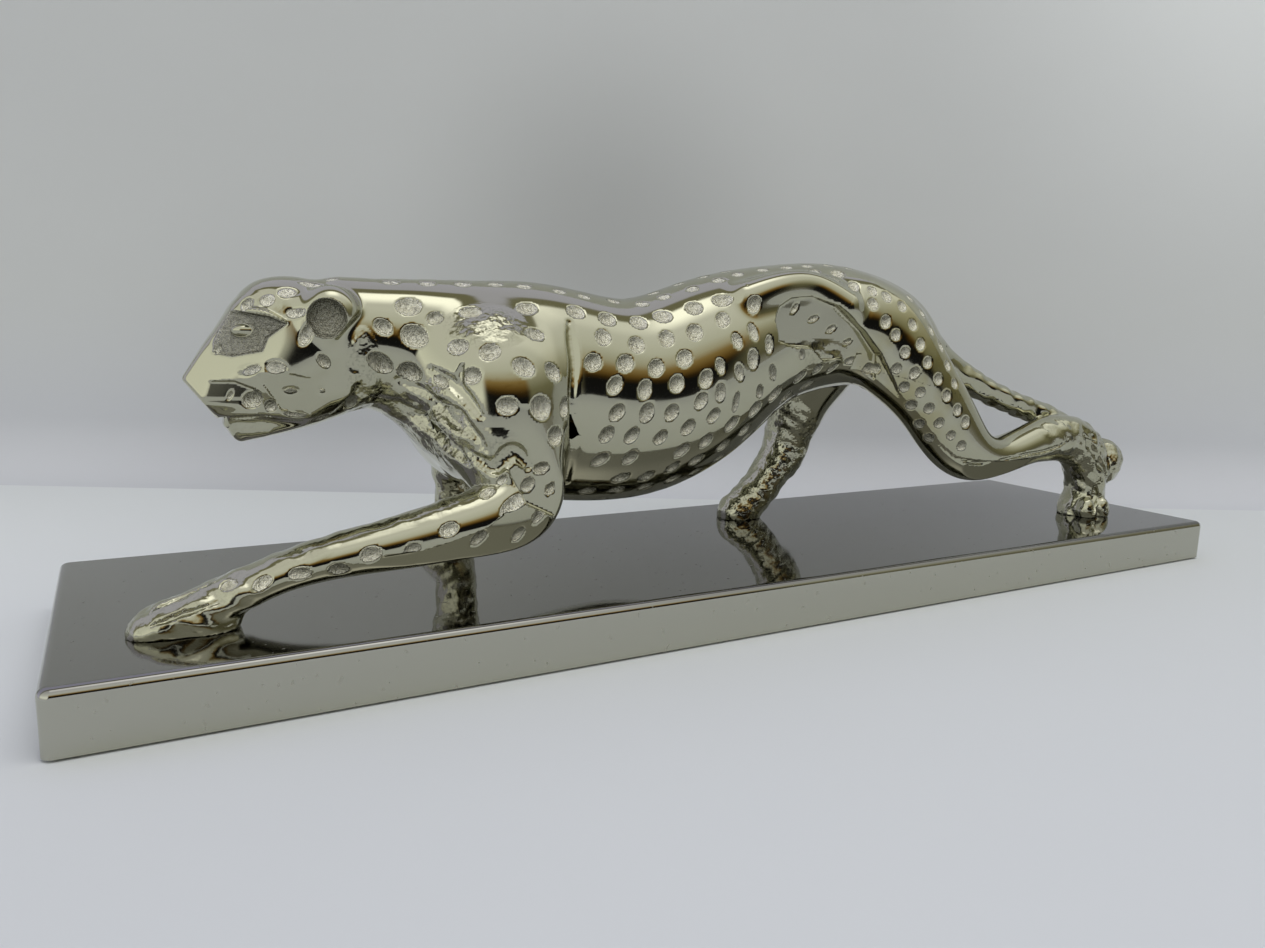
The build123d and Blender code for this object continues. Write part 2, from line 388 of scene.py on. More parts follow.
RIGHT_FORELEG = [
    (-88, 12, 60, 13, 9.5),
    (-86.5, 16, 48, 12.5, 9.5),
    (-85.5, 20, 36, 9.8, 8.6),
    (-84.6, 22.5, 25, 7.2, 7.2),
    (-84.4, 23, 14, 6.2, 6.4),
    (-85.5, 23, 6, 6.8, 6.8),
    (-88, 23, 1, 8.2, 7.4),
]
LEFT_HIND_LEG = [
    (46, -10, 70, 16, 10.5),
    (55, -12.5, 65, 16.5, 10.7),
    (64, -15.5, 56.5, 14.8, 10.4),
    (73.5, -18, 45.5, 13.2, 9.9),
    (82, -20, 34.6, 12.2, 9.4),
    (90, -21.5, 27.8, 10.0, 8.6),
    (100, -22, 25.8, 7.6, 8.0),
    (110, -22, 26.9, 6.9, 7.4),
    (120, -22, 29.2, 7.3, 7.2),
    (131, -21.5, 30.8, 8.4, 7.4),
    (143, -21, 30.5, 9.0, 7.8),
    (153, -20.5, 26.5, 9.0, 8.2),
    (159, -20, 18, 8.2, 8.0),
    (160, -20, 9, 7.4, 7.4),
    (157.5, -20, 1, 8.6, 7.6),
]
RIGHT_HIND_LEG = [
    (54, 13, 66, 17, 10),
    (52, 17, 56, 14, 9.5),
    (49, 21, 46, 11.6, 9.0),
    (47.3, 24, 37, 10.4, 8.4),
    (46, 26, 29, 9.2, 8.0),
    (44, 26, 22.9, 8.6, 7.8),
    (39.5, 26, 17.6, 7.4, 7.4),
    (35, 26, 11.6, 7.0, 7.0),
    (30, 26, 6.6, 7.2, 6.8),
    (24.5, 26, 1.6, 8.0, 6.8),
]

LOIN_RIDGE = [(-5, -13.6, 78, 5, 4.5), (8, -14, 82, 5, 4.5), (20, -14, 82.5, 5, 4.5), (32, -16, 77, 5, 5)]

# The step round the haunch, as (x, h). In front of it and below it the thigh and shank are flat facets.
HAUNCH_STEP = [(3.5, 66), (2.6, 72), (4.6, 76.4), (9, 79), (17, 79.9), (27, 77.1), (37.7, 69.8), (45.4, 62.2)]
THIGH_STEP = [(45.4, 62.2), (51, 54), (56, 46.2), (65, 36), (77, 27.5), (90, 25.5)]
SHANK_STEP = [(82, 26.5), (99.9, 25), (120, 26), (139.8, 27.6)]
FOREARM_LINE = [
    (-152, 10), (-148, 11.2), (-142, 13.3), (-131.6, 14.2), (-121.5, 14.4), (-111.8, 14.9), (-104.8, 16.7),
    (-95.5, 19.4), (-88, 23.9), (-83, 27.7),
]

# Outlines of the flat facets in x and h.
HAUNCH_FACET = HAUNCH_STEP + [(46, 54), (38, 56.5), (31, 60.5), (23, 60), (17, 64), (9, 64.5)]
THIGH_FACET = THIGH_STEP + [(80, 12), (55, 30), (36, 54), (38, 62)]
SHANK_FACET = SHANK_STEP + [(141, 12), (100, 8), (78, 12)]
UPPER_ARM_FACET = [(-98, 51), (-71, 47), (-68.5, 32), (-72, 18), (-84, 24), (-90, 36)]
FOREARM_FACET = FOREARM_LINE + [(-70, 20), (-84, 5), (-112, 3), (-150, -4)]
# Flat facets: (outline, a point on the facet, its outward normal, softness of its edge).
FACETS = [
    (HAUNCH_FACET, (15, -17.5, 70), (0.0, -1.0, -0.03), 0.6),
    (THIGH_FACET, (47, -18.8, 57), (-0.27, -0.96, -0.03), 0.35),
    (SHANK_FACET, (100, -28.2, 25), (-0.03, -0.9, -0.43), 0.35),
    (UPPER_ARM_FACET, (-80, -29.9, 40), (0.0, -1.0, -0.02), 0.8),
    (FOREARM_FACET, (-112, -32.6, 14.6), (0.065, -0.95, -0.30), 0.3),
]

SHOULDER_CREASE = [(-69.8, 70), (-69.2, 66), (-68.3, 60), (-68.6, 52), (-68.2, 44), (-68.6, 36), (-70.2, 28)]
# Grooves: (points as x and h, the y at which they are aimed, half-width, depth, softness of the edges).
GROOVES = [
    (SHOULDER_CREASE, -26, 1.3, 1.3, 1.4),
    ([(-119, 50), (-109, 46), (-101, 39), (-94, 33)], -16, 2.6, 1.9, 1.2),
    ([(-113, 55), (-104, 49), (-97, 43), (-91, 37)], -20, 2.4, 1.7, 1.2),
    ([(-106, 58), (-99, 53), (-93, 46)], -23, 1.8, 1.2, 0.9),
    ([(-98, 37), (-91, 34), (-86, 37), (-82, 33)], -28, 2.4, 1.8, 0.9),
    ([(-97, 49), (-99, 54), (-98, 59)], -23, 1.5, 1.1, 0.6),
    ([(78, 26.4), (88, 25), (100, 25.5), (112, 27), (124, 28), (134, 31)], -29, 0.8, 0.8, 0.4),
    ([(146, 33), (151, 28), (156, 23), (163, 15)], -27, 1.5, 1.3, 0.6),
    ([(156.5, 12), (157.2, 7), (157.5, 1)], -27, 1.4, 1.8, 0.6),
    ([(-170, 6), (-163, 9), (-157, 11)], -28, 0.9, 0.9, 0.4),
    ([(-170, 3.5), (-163, 5.5), (-157, 7)], -30, 0.9, 0.9, 0.4),
]

# Dimples placed one by one: (x, h, long side, short side, lean in degrees).
SHOULDER_DIMPLES = [
    (-111.5, 73, 6.6, 5.4, 0), (-105.2, 70.4, 4.5, 3.5, 20), (-96, 72.1, 6.6, 3.8, -5),
    (-110.2, 66, 6.8, 6, -30), (-99.4, 63.5, 6, 4.6, 0), (-111.8, 57.3, 6.2, 5.6, 0),
    (-95.7, 56.3, 5, 4.4, 0), (-90.9, 62.3, 6.6, 4.8, 20), (-81.0, 73.4, 6.6, 4.4, 0),
    (-78.7, 66.9, 6.6, 4, 5), (-87.0, 75.7, 6.6, 4, 10), (-81.7, 58.4, 7.2, 5.6, -30),
    (-73.5, 57.1, 6.4, 4.8, -40), (-94.8, 47.7, 7, 5, -40), (-86.3, 48.5, 6.8, 4.6, -10),
    (-76.8, 47.9, 7.2, 6.6, 0), (-69.9, 47.7, 5.6, 4.2, 80), (-84.3, 41.8, 7.4, 4.6, -35),
    (-72.5, 40.1, 6.4, 5, 0), (-76.6, 31.8, 4.6, 3, 20), (-74.0, 26.0, 3.6, 2.4, 60),
    (-69.4, 66.5, 4.8, 3.6, 60), (-104, 55, 5, 3.4, -50), (-118.5, 59.5, 7.6, 5, -45),
    (-117.7, 68, 5.4, 4.2, -35), (-68.0, 54.6, 4.2, 3.2, 70),
]
FOREARM_DIMPLES = [
    (-94.3, 27.6, 4.4, 3.2, 50), (-87.5, 23.6, 9.5, 4.8, 32), (-104.2, 19.0, 4.8, 3.6, 25),
    (-96.5, 16.2, 5, 3.6, 40), (-113.4, 14.9, 4.8, 4, 30), (-123.2, 14.6, 5.6, 5, -20),
    (-130.8, 11.9, 5.8, 3.6, -10), (-139.4, 11.8, 5.6, 4, -15), (-147.6, 10.6, 5.2, 3.8, 60),
    (-154.5, 11, 3.8, 3.2, 20), (-85.9, 16.2, 5, 3, 50), (-79.9, 21, 6.4, 3, 75), (-83.4, 29.0, 5, 4, 60),
    (-136, 20, 3.6, 2.4, 20), (-90.5, 30.6, 3.4, 2.4, 30),
]
HAUNCH_DIMPLES = [
    (9, 76.0, 3.8, 1.8, 50), (16.5, 73.0, 4.6, 2.0, 25), (24, 70.0, 4.6, 2.2, 20),
    (31, 66.0, 4.4, 1.8, 15), (33, 60.0, 6.0, 2.8, 10), (19.5, 57.5, 4.6, 2.6, 60),
    (25.5, 57.6, 4.6, 2.2, 45), (43, 57.5, 5.6, 3.4, 0), (44.5, 52.5, 5, 3, -10),
    (-12, 65.9, 5.6, 3.2, -75), (-6.3, 68.6, 6.6, 3.4, -70), (-17.6, 58.4, 5.6, 3.0, -80),
    (-10.6, 56.5, 5.8, 3.6, -75), (-5.8, 60.4, 6.6, 4.2, -80), (0.0, 64.8, 6.2, 3.0, -75),
    (2.0, 56.4, 6.6, 3.2, -75), (6.8, 60.0, 6.4, 3.0, -75), (-17.2, 50.6, 6.4, 4.0, 90),
    (-11.3, 47.6, 7.5, 3.0, -85), (-2.6, 50.6, 5.0, 3.4, -75), (13.0, 62.0, 4.4, 2.6, -60),
    (12.5, 55.0, 5.6, 3, 50), (14.5, 69.4, 5.0, 2.6, 10), (71, 26.2, 4.0, 3.2, 0),
]
# Lines of round dimples down the haunch, as x and h.
HAUNCH_LINES = [
    [(36, 77.6), (44.3, 71.0), (51.5, 64), (56.5, 56), (62, 47.5), (71, 38.3), (80, 31.0), (88, 28.2)],
    [(28, 83.5), (37.1, 82.4), (47.6, 78.6), (54.5, 71.5), (61.2, 62.1), (68.2, 54), (76, 46), (85, 37)],
    [(52, 80), (60, 74), (67, 66), (75, 55), (82, 46)],
    [(48, 58), (53, 49.5), (60, 40), (68, 32.5)],
]
# Rows of dimples along the trunk: (angle up from the side, first x, last x, spacing, long, short, lean).
TRUNK_ROWS = [
    (90, -116, 62, 9.2, 4.6, 3.4, 0),
    (75, -114, 58, 9.0, 4.6, 3.2, 0),
    (59, -63, 40, 9.6, 6.0, 4.9, 0),
    (43, -62, 18, 10.2, 5.7, 5.2, 60),
    (28, -60, -14, 9.8, 6.0, 4.9, 40),
    (12.5, -57, -18, 10.2, 6.1, 4.6, 60),
    (-5.5, -59, -2, 9.6, 6.2, 4.6, 55),
    (-22, -61, 12, 9.0, 5.8, 4.1, 50),
    (-37, -60, 18, 8.8, 5.9, 4.0, 50),
    (-51, -60, 22, 8.8, 5.6, 3.6, 35),
    (-64, -58, 22, 9.4, 5.6, 3.4, 20),
    (-78, -56, 18, 10.0, 5.2, 3.4, 0),
]
TOP_ROW = 90
STEEP_ROW = 60
DIMPLE_DEPTH = 1.2
SMALL_DIMPLE_DEPTH = 0.6
# A dimple shallower than this may overlap others.
SMEAR_DEPTH = 0.55
# No dimple is put where a groove has taken away more than this.
GROOVE_LIMIT = 0.5
# A point farther than this outside the trunk's own surface is on a limb.
LIMB_LIMIT = 1.6
# The sets of dimples placed one by one: the dimples, the y at which they are aimed, and their depth.
DIMPLE_SETS = {
    "shoulder": (SHOULDER_DIMPLES, 24, DIMPLE_DEPTH),
    "forearm": (FOREARM_DIMPLES, 31, 0.9),
    "haunch": (HAUNCH_DIMPLES, 20, 0.8),
}

# Cast surfaces that were left lumpy: (x, y, h), radii, height of the lumps, and how crumpled they are.
ROUGH_PATCHES = [
    ((-90.5, -20, 69), (12, 9, 7.5), 0.35, 0.9),
    ((-103, -14, 43), (17, 17, 12), 0.6, 1.0),
    ((-92, -27, 36), (9, 10, 8), 0.4, 0.7),
    ((-118, -26, 24.5), (36, 8, 6.5), 0.3, 0.4),
    ((-88, 23, 16), (22, 18, 34), 0.5, 0.7),
    ((-163, -25, 7), (18, 18, 13), 0.5, 0.3),
    ((-142, -25, 17), (16, 9, 6), 0.3, 0.3),
    ((22, -19, 62), (13, 6, 5.0), 0.3, 0.7),
    ((36, 26, 22), (30, 18, 30), 0.35, 0.9),
    ((158, -20, 14), (22, 22, 26), 0.5, 0.7),
    ((127, -10, 42), (38, 12, 11), 0.45, 0.1),
    ((104, -6, 52), (14, 12, 10), 0.35, 0.1),
    ((138, -24, 33), (20, 13, 9), 0.4, 0.3),
]


def ear_dome():
    """The ear's shell, before its cup is hollowed out: a low dome with a straight rear edge below."""
    dome = Blob((-127.0, 10.4, 70.2), (7.2, 5.7, 7.4))
    rear_edge = Beyond((-122.4, 0, 69.4), (0.70, 0, -0.71))
    return Carving([(dome, 0.1, 1), (rear_edge, 1.0, -1)])


def ear_cup():
    return Blob((-129.0, 15.6, 69.6), (4.7, 4.3, 4.8))


def eye_socket():
    """What is cut away for the eye: everything beyond a flat floor, within the lids."""
    lower_lid = [(-153.2, 61), (-149.4, 60.2), (-143.0, 61.6), (-141.6, 64.8)]
    upper_lid = [(-137.6, 68), (-141.4, 69.7), (-149, 71), (-153.4, 68)]
    return Beyond((-148, 6.5, 63), (-0.42, 0.90, 0.12), lower_lid + upper_lid, soft=1.0)


def eyeball():
    return Blob((-146.0, 6.4, 66.2), (3.2, 1.7, 1.6))


def groove(points, half_width, depth):
    """A groove along points given as (x, y, h), which lie on the skin. It narrows to its ends."""
    widths = [1.0] * len(points)
    widths[0] = widths[-1] = 0.35
    return Sweep([(*point, half_width * width, depth * width) for point, width in zip(points, widths)])


def skull():
    """The head's mass and the large planes that shape its brow, chin, nose and temples."""
    rounds = [
        (Blob((-135, 0, 62.5), (18.5, 15, 17.2)), 0.1, 1),
        (Sweep([(-138, 0, 58, 14, 12.5), (-148, 0, 56, 12, 9), (-158, 0, 54, 8, 5.5)]), 3, 1),
        (Sweep([(-120, 0, 55, 8.5, 12.5), (-133, 0, 49.5, 7.5, 11.5), (-147.5, 0, 44.0, 5.2, 6.2)]), 3, 1),
    ]
    brow = Beyond((-153.5, 0, 65.0), (-0.85, 0, 0.527))
    chin = Beyond((-157, 0, 50.4), (-0.8, 0, -0.6))
    nose_side = Beyond((-157, 3.2, 55), (-0.62, 0.76, 0.20))
    temple = Beyond((-142, 11.6, 62), (-0.30, 0.94, 0.16))
    return rounds + [(brow, 3.0, -1), (chin, 0.8, -1), (nose_side, 0.8, -1), (temple, 3.0, -1)]


def muzzle():
    """The flat sides of the muzzle, the parted lips, the flat cheek, and the jaw."""
    muzzle_outline = [(-166, 54.3), (-149, 54.3), (-145, 52.5), (-144.5, 46), (-152, 42), (-166, 42)]
    upper_side = Beyond((-150, 6.6, 52), (-0.22, 0.97, 0.06), muzzle_outline, soft=0.6)
    lower_side = Beyond((-150, 7.0, 48.4), (-0.25, 0.95, -0.14), muzzle_outline, soft=0.6)
    gap_outline = [(-157, 50), (-145, 50), (-145, 48.4), (-157, 48.4)]
    lip_gap = Beyond((-150, 6.7, 50), (-0.22, 0.96, 0.16), gap_outline)
    cheek_outline = [(-144.5, 56), (-138, 56.5), (-123.5, 53), (-125, 48), (-129, 45.5), (-139, 47.5)]
    cheek = Beyond((-134, 11.7, 51), (-0.15, 0.93, -0.33), cheek_outline, soft=0.3)
    chin_outline = [(-170, 44.6), (-154.5, 44.4), (-151.2, 45.2), (-151.5, 42), (-150.2, 40.2)]
    below_lip = Beyond((0, -20, 0), (0, 1, 0), chin_outline + [(-150, 34), (-170, 34)], soft=0.5)
    jaw_outline = [(-153, 44.9), (-143, 45.6), (-134, 44), (-128, 36), (-156, 36)]
    jaw = Beyond((-147, 4.2, 43), (-0.25, 0.95, -0.15), jaw_outline, soft=2.0)
    lip_line = groove([(-152.5, 5.0, 44.9), (-147, 6.2, 45.1), (-141.5, 8.2, 45.8)], 0.8, 1.4)
    return [
        (upper_side, 0.3, -1),
        (lip_gap, 0.3, -1),
        (lower_side, 0.5, -1),
        (cheek, 0.3, -1),
        (below_lip, 0.4, -1),
        (jaw, 1.5, -1),
        (lip_line, 0.3, -1),
    ]


def eye_and_ear():
    """The brow's ridge, the eye, the ear, and the hollow behind the jaw."""
    ridge_line = [(-146.5, 8.2, 70.9, 0.6, 1.0), (-143, 9.9, 70.6, 0.9, 1.4), (-138, 12.0, 68.6, 0.4, 0.8)]
    brow_ridge = Sweep(ridge_line)
    jaw_line = [(-121.5, 12.8, 65), (-119.6, 13.6, 58), (-120.4, 12.0, 51), (-126, 9, 45.4)]
    jaw_hollow = groove(jaw_line, 2.0, 1.3)
    return [
        (brow_ridge, 1.0, 1),
        (eye_socket(), 0.6, -1),
        (eyeball(), 0.8, 1),
        (ear_dome(), 2.6, 1),
        (ear_cup(), 0.4, -1),
        (jaw_hollow, 1.6, -1),
    ]


def head():
    """The head, on one side only: the other is its mirror image."""
    return Carving(skull() + muzzle() + eye_and_ear(), mirrored=True)


# Dimples and smears on the head: (x, h, long, short, lean, depth).
HEAD_DIMPLES = [
    (-146, 50.3, 4.4, 4.0, 30, 0.9), (-141.6, 48.6, 3.6, 3.2, 40, 0.8), (-150.6, 51.2, 2.6, 1.3, 70, 0.6),
    (-140, 57.6, 5.6, 4.2, 0, 0.5), (-145.5, 57.0, 6.0, 2.6, 10, 0.4), (-137, 52, 4.0, 2.2, -5, 0.25),
    (-129.6, 52, 2.8, 2.4, 0, 0.2), (-136, 46.4, 7.6, 2.8, -15, 0.7), (-130.2, 45.2, 4.8, 2.8, 25, 0.8),
    (-137.4, 62, 4.6, 4.0, 20, 0.9), (-132.7, 66.0, 5.8, 3.2, 60, 0.8),
    (-128.9, 59.2, 5.6, 3.0, -50, 0.8), (-126.2, 57, 2.8, 2.2, 0, 0.6), (-141.5, 73.5, 4.6, 3.4, 30, 0.5),
    (-146.0, 72.4, 3.6, 2.6, 40, 0.5), (-137.0, 75.4, 5.2, 3.6, 10, 0.5),
    (-135.2, 70.6, 3.8, 3.0, 0, 0.4), (-132.0, 77.6, 5.6, 3.0, 0, 0.5), (-126.5, 79.0, 4.2, 2.4, 0, 0.4),
    (-122.7, 49.0, 4.4, 3.0, 80, 0.8), (-152.5, 62.0, 2.0, 1.2, 60, 0.3),
]
HEAD_ROUGH = [
    ((-147, 5.0, 41.5), (7.0, 6.0, 3.6), 0.25, 0.2),
    ((-120.0, 10, 55), (5.0, 9, 14), 0.3, 0.8),
    ((-142.0, 10.5, 57.0), (7.5, 3.5, 2.0), 0.15, 0.5),
    ((-143.0, 6.0, 72.5), (8.0, 9.0, 5.0), 0.2, 0.1),
]


SHOULDERS = (-10.5, 10.5)
HEEL = Blob((169, -20, 20.0), (8.4, 7.2, 9.4))
HIND_TOES = [Blob((153.5, -26, 2.5), (3.8, 3.6, 5.0)), Blob((161.3, -26.5, 2.5), (3.6, 3.6, 5.0))]
FORE_PAD = Blob((-159, -26, 1.0), (7.0, 6.0, 4.0))


def plain_cat():
    """The whole cat without grooves or dimples."""
    masses = [
        (Sweep(TRUNK), 0.1, 1),
        (head(), 2.0, 1),
        *[(Blob((-84.0, y, 46.0), (18, 15, 22)), 9.0, 1) for y in SHOULDERS],
        (Sweep(LEFT_FORELEG), 7.0, 1),
        (Sweep(RIGHT_FORELEG), 4.0, 1),
        (Sweep(LEFT_HIND_LEG), 4.0, 1),
        (Sweep(RIGHT_HIND_LEG), 4.0, 1),
        (Sweep(LOIN_RIDGE), 4.0, 1),
        (Sweep(TAIL), 1.2, 1),
        (HEEL, 1.0, 1),
        *[(toe, 1.0, 1) for toe in HIND_TOES],
        (FORE_PAD, 2.0, 1),
    ]
    facets = [(Beyond(point, normal, outline, soft), soft, -1) for outline, point, normal, soft in FACETS]
    return Carving(masses + facets)


# Rays start this far in front of the place that they are aimed at, in millimetres.
SIGHT_RUN = 40
ROW_RUN = 44
# The y at which each kind of dimple is aimed.
HEAD_AIM = 11
HAUNCH_LINE_AIM = 25
# The haunch's lines: their spacing, then each dimple's long side, short side, lean and depth.
HAUNCH_LINE_SPACING = 7.4
HAUNCH_LINE_DIMPLE = (4.6, 4.1, 60, 0.8)


def seen(shape, places, y):
    """Skin points and normals where the lines of sight through places (x, h), at a given y, first meet it.

    For a place on the far side the eye is the camera's mirror image.
    """
    eye = np.array(CAMERA_PLACE) / MM - (0, 0, PLATE_TOP / MM)
    if y > 0:
        eye = eye * (1, -1, 1)
    targets = np.array([(x, y, h) for x, h in places], float)
    ways = unit(targets - eye)
    return first_hits(shape, targets - ways * SIGHT_RUN, ways)


def along_line(line, spacing, rng):
    """Points about spacing apart along a line of (x, h) points."""
    line = np.array(line, float)
    at = np.concatenate([[0], np.cumsum(np.linalg.norm(np.diff(line, axis=0), axis=1))])
    steps = np.arange(0, at[-1] + 0.1, spacing)
    spots = np.column_stack([np.interp(steps, at, line[:, 0]), np.interp(steps, at, line[:, 1])])
    return spots + rng.uniform(-0.6, 0.6, spots.shape)


def trunk_row(cat, side, row, rng):
    """One row of dimples along the trunk: their points and normals."""
    angle, first, last, spacing = row[:4]
    x = np.arange(first + rng.uniform(0, spacing * 0.6), last, spacing)
    x = x + rng.uniform(-0.8, 0.8, len(x))
    turn = np.radians(angle + rng.uniform(-2.0, 2.0, len(x)))
    out = np.column_stack([np.zeros(len(x)), side * np.cos(turn), np.sin(turn)])
    stations = np.array(TRUNK)
    axis = np.column_stack([x, np.zeros(len(x)), np.interp(x, stations[:, 0], stations[:, 2])])
    points, normals = first_hits(cat, axis + out * ROW_RUN, -out)
    points[Sweep(TRUNK).distance(points) > LIMB_LIMIT] = np.nan
    return points, normals


def side_dimples(cat, side, rng):
    """Every dimple of one side, in sets: each is (points, normals, rows of long, short, lean and depth)."""
    marks = np.array(HEAD_DIMPLES)
    sets = [(*seen(cat, marks[:, :2], side * HEAD_AIM), marks[:, 2:])]
    for name, (dimples, y, depth) in DIMPLE_SETS.items():
        if side > 0 and name == "forearm":
            continue
        marks = np.array(dimples, float)
        sizes = np.column_stack([marks[:, 2:], np.full(len(marks), depth)])
        sets.append((*seen(cat, marks[:, :2], side * y), sizes))
    for line in HAUNCH_LINES:
        spots = along_line(line, HAUNCH_LINE_SPACING, rng)
        sets.append((*seen(cat, spots, side * HAUNCH_LINE_AIM), HAUNCH_LINE_DIMPLE))
    for row in TRUNK_ROWS:
        if side > 0 and row[0] == TOP_ROW:
            continue
        depth = SMALL_DIMPLE_DEPTH if row[0] > STEEP_ROW else DIMPLE_DEPTH
        sets.append((*trunk_row(cat, side, row, rng), (*row[4:], depth)))
    return sets


def dimple_places(cat, plain, rng):
    """Every dimple as a row: point (3), normal (3), long, short, lean, depth. Earlier rows have the say.

    None is put where cat, which has its grooves, is well inside plain, which hasn't.
    """
    rows = []
    for side in (-1, 1):
        for points, normals, sizes in side_dimples(cat, side, rng):
            sizes = np.broadcast_to(np.array(sizes, float), (len(points), 4))
            rows.append(np.column_stack([points, normals, sizes]))
    rows = np.concatenate(rows)
    rows = rows[~np.isnan(rows).any(axis=1)]
    rows = rows[plain.distance(rows[:, :3]) > -GROOVE_LIMIT]
    kept = []
    for row in rows:
        gaps = [np.linalg.norm(row[:3] - other[:3]) - 0.5 * (row[6] + other[6]) for other in kept]
        if not gaps or min(gaps) > 0 or row[9] < SMEAR_DEPTH:
            kept.append(row)
    return np.array(kept)


def dimple_cutters(places, rng):
    """The ellipsoids that cut the dimples."""
    points = places[:, :3]
    normals = places[:, 3:6]
    sizes = places[:, 6:8]
    lean = np.radians(places[:, 8] + rng.uniform(-12, 12, len(places)))
    depth = places[:, 9:10] * rng.uniform(0.85, 1.15, (len(places), 1))
    sizes = sizes * rng.uniform(0.93, 1.07, sizes.shape)
    along = np.column_stack([np.cos(lean), np.zeros(len(lean)), np.sin(lean)])
    along = unit(along - (along * normals).sum(axis=1)[:, None] * normals)
    across = np.cross(normals, along)
    # A cutter's centre is two thirds of its thickness above the skin, so the cut is narrower by this share.
    thickness = 3.0 * depth
    share = math.sqrt(1 - (2 / 3) ** 2)
    radii = np.column_stack([sizes / 2 / share, thickness])
    centres = points + normals * (thickness - depth)
    return Scoops(centres, radii, np.stack([along, across, normals], axis=1))


# Waves in the skin: low ripples all over, and lumps in the rough patches. Each has its shortest and
# longest wavelength.
WHOLE_CAT = Blob((0, 0, 45), (400, 90, 90))
RIPPLE_HEIGHT = 0.07
RIPPLES = (12, 26)
LUMPS = (3.5, 11.0)


def carved_cat(rng):
    """The finished cat, the cat before its dimples, the dimples' cutters, and the rough patches."""
    plain = plain_cat()
    cuts = []
    for line, y, half_width, depth, soft in GROOVES:
        points, _ = seen(plain, line, y)
        cuts.append((groove(points, half_width, depth), soft, -1))
    grooved = Carving([(plain, 0.1, 1)] + cuts)
    cutters = dimple_cutters(dimple_places(grooved, plain, rng), rng)
    patches = [(Blob(centre, radii), 4.0, *rest) for centre, radii, *rest in ROUGH_PATCHES]
    for centre, radii, *rest in HEAD_ROUGH:
        patches.append((Blob(centre, radii), 1.6, *rest))
        patches.append((Blob(np.array(centre) * (1, -1, 1), radii), 1.6, *rest))
    zones = [patch[:3] for patch in patches]
    ripples = Lumps(grooved, [(WHOLE_CAT, 5.0, RIPPLE_HEIGHT)], random_waves(rng, 10, *RIPPLES))
    lumpy = Lumps(ripples, zones, random_waves(rng, 16, *LUMPS))
    sole = Beyond((0, 0, 0.03), (0, 0, -1))
    cat = Carving([(lumpy, 0.1, 1), (cutters, 0.3, -1), (sole, 0.2, -1)])
    return cat, ripples, cutters, patches


def shades(p, ripples, cutters, patches):
    """For each skin point: how frosted, stained, lumpy, and how deep below the polished skin it is."""
    depth = np.clip(-ripples.distance(p) / DIMPLE_DEPTH, 0, 1)
    frosted = np.clip(1 - cutters.distance(p) / 0.3, 0, 1) * np.clip(depth * 4, 0, 1)
    one_side = p * (1, 0, 1) + np.abs(p) * (0, 1, 0)
    stained = np.zeros(len(p))
    for hollow in (eye_socket(), ear_cup()):
        stained = np.maximum(stained, np.clip(1 - hollow.distance(one_side) / 0.35, 0, 1))
    stained *= np.clip(eyeball().distance(one_side) / 0.3, 0, 1)
    frosted = np.maximum(frosted, stained)
    lumpy = np.zeros(len(p))
    for zone, soft, _, crumpled in patches:
        lumpy = np.maximum(lumpy, crumpled * np.clip(-zone.distance(p) / soft, 0, 1))
    return {"frosted": frosted, "stained": stained, "lumpy": lumpy, "depth": depth}


# --------------------------------------------------------------------------------------------------------
# From field to mesh
# --------------------------------------------------------------------------------------------------------


def sample_grid(shape, low, high, cell):
    """The field on a regular grid. Blocks far from the skin get only their sign."""
    count = np.ceil((np.array(high) - low) / cell / BLOCK_CELLS).astype(int)
    values = np.full(count * BLOCK_CELLS, FAR, np.float32)
    span = np.arange(BLOCK_CELLS) * cell
    offsets = np.stack(np.meshgrid(span, span, span, indexing="ij"), axis=-1).reshape(-1, 3)
    half = span[-1] / 2
    reach = half * math.sqrt(3)
    for block in np.ndindex(*count):
        corner = np.array(low) + np.array(block) * BLOCK_CELLS * cell
        centre = corner + half
        local = shape.near(centre, reach + BLOCK_MARGIN)
        if local is None:
            continue
        middle = local.distance(centre[None])[0]
        where = tuple(slice(b * BLOCK_CELLS, (b + 1) * BLOCK_CELLS) for b in block)
        if abs(middle) > reach * 1.5 + 1:
            values[where] = math.copysign(FAR, middle)
            continue
        values[where] = local.distance(corner + offsets).reshape((BLOCK_CELLS,) * 3)
    return values


def in_blocks(shape, p, call):
    """call(local shape, points) for the points of each block of space, put back in order."""
    keys = np.floor(p / SETTLING_BLOCK).astype(int)
    unique, inverse = np.unique(keys, axis=0, return_inverse=True)
    order = np.argsort(inverse.ravel(), kind="stable")
    ends = np.searchsorted(inverse.ravel()[order], np.arange(len(unique) + 1))
    result = None
    for i, key in enumerate(unique):
        rows = order[ends[i] : ends[i + 1]]
        local = shape.near((key + 0.5) * SETTLING_BLOCK, SETTLING_REACH) or shape
        value = call(local, p[rows])
        if result is None:
            result = np.zeros((len(p),) + value.shape[1:])
        result[rows] = value
    return result


def settle(local, p):
    """Moves points onto the skin."""
    for _ in range(2):
        slope = gradient(local, p)
        length2 = np.maximum((slope * slope).sum(axis=1), 0.25)
        move = (local.distance(p) / length2)[:, None] * slope
        p = p - np.clip(move, -0.5, 0.5)
    return p


def crossed_cells(f):
    """The grid's cells that the skin passes through."""
    inside = f < 0
    corners = np.zeros(np.array(f.shape) - 1, np.int8)
    for i in (0, 1):
        for j in (0, 1):
            for k in (0, 1):
                corners += inside[i : i - 1 or None, j : j - 1 or None, k : k - 1 or None]
    return np.argwhere((corners > 0) & (corners < 8))


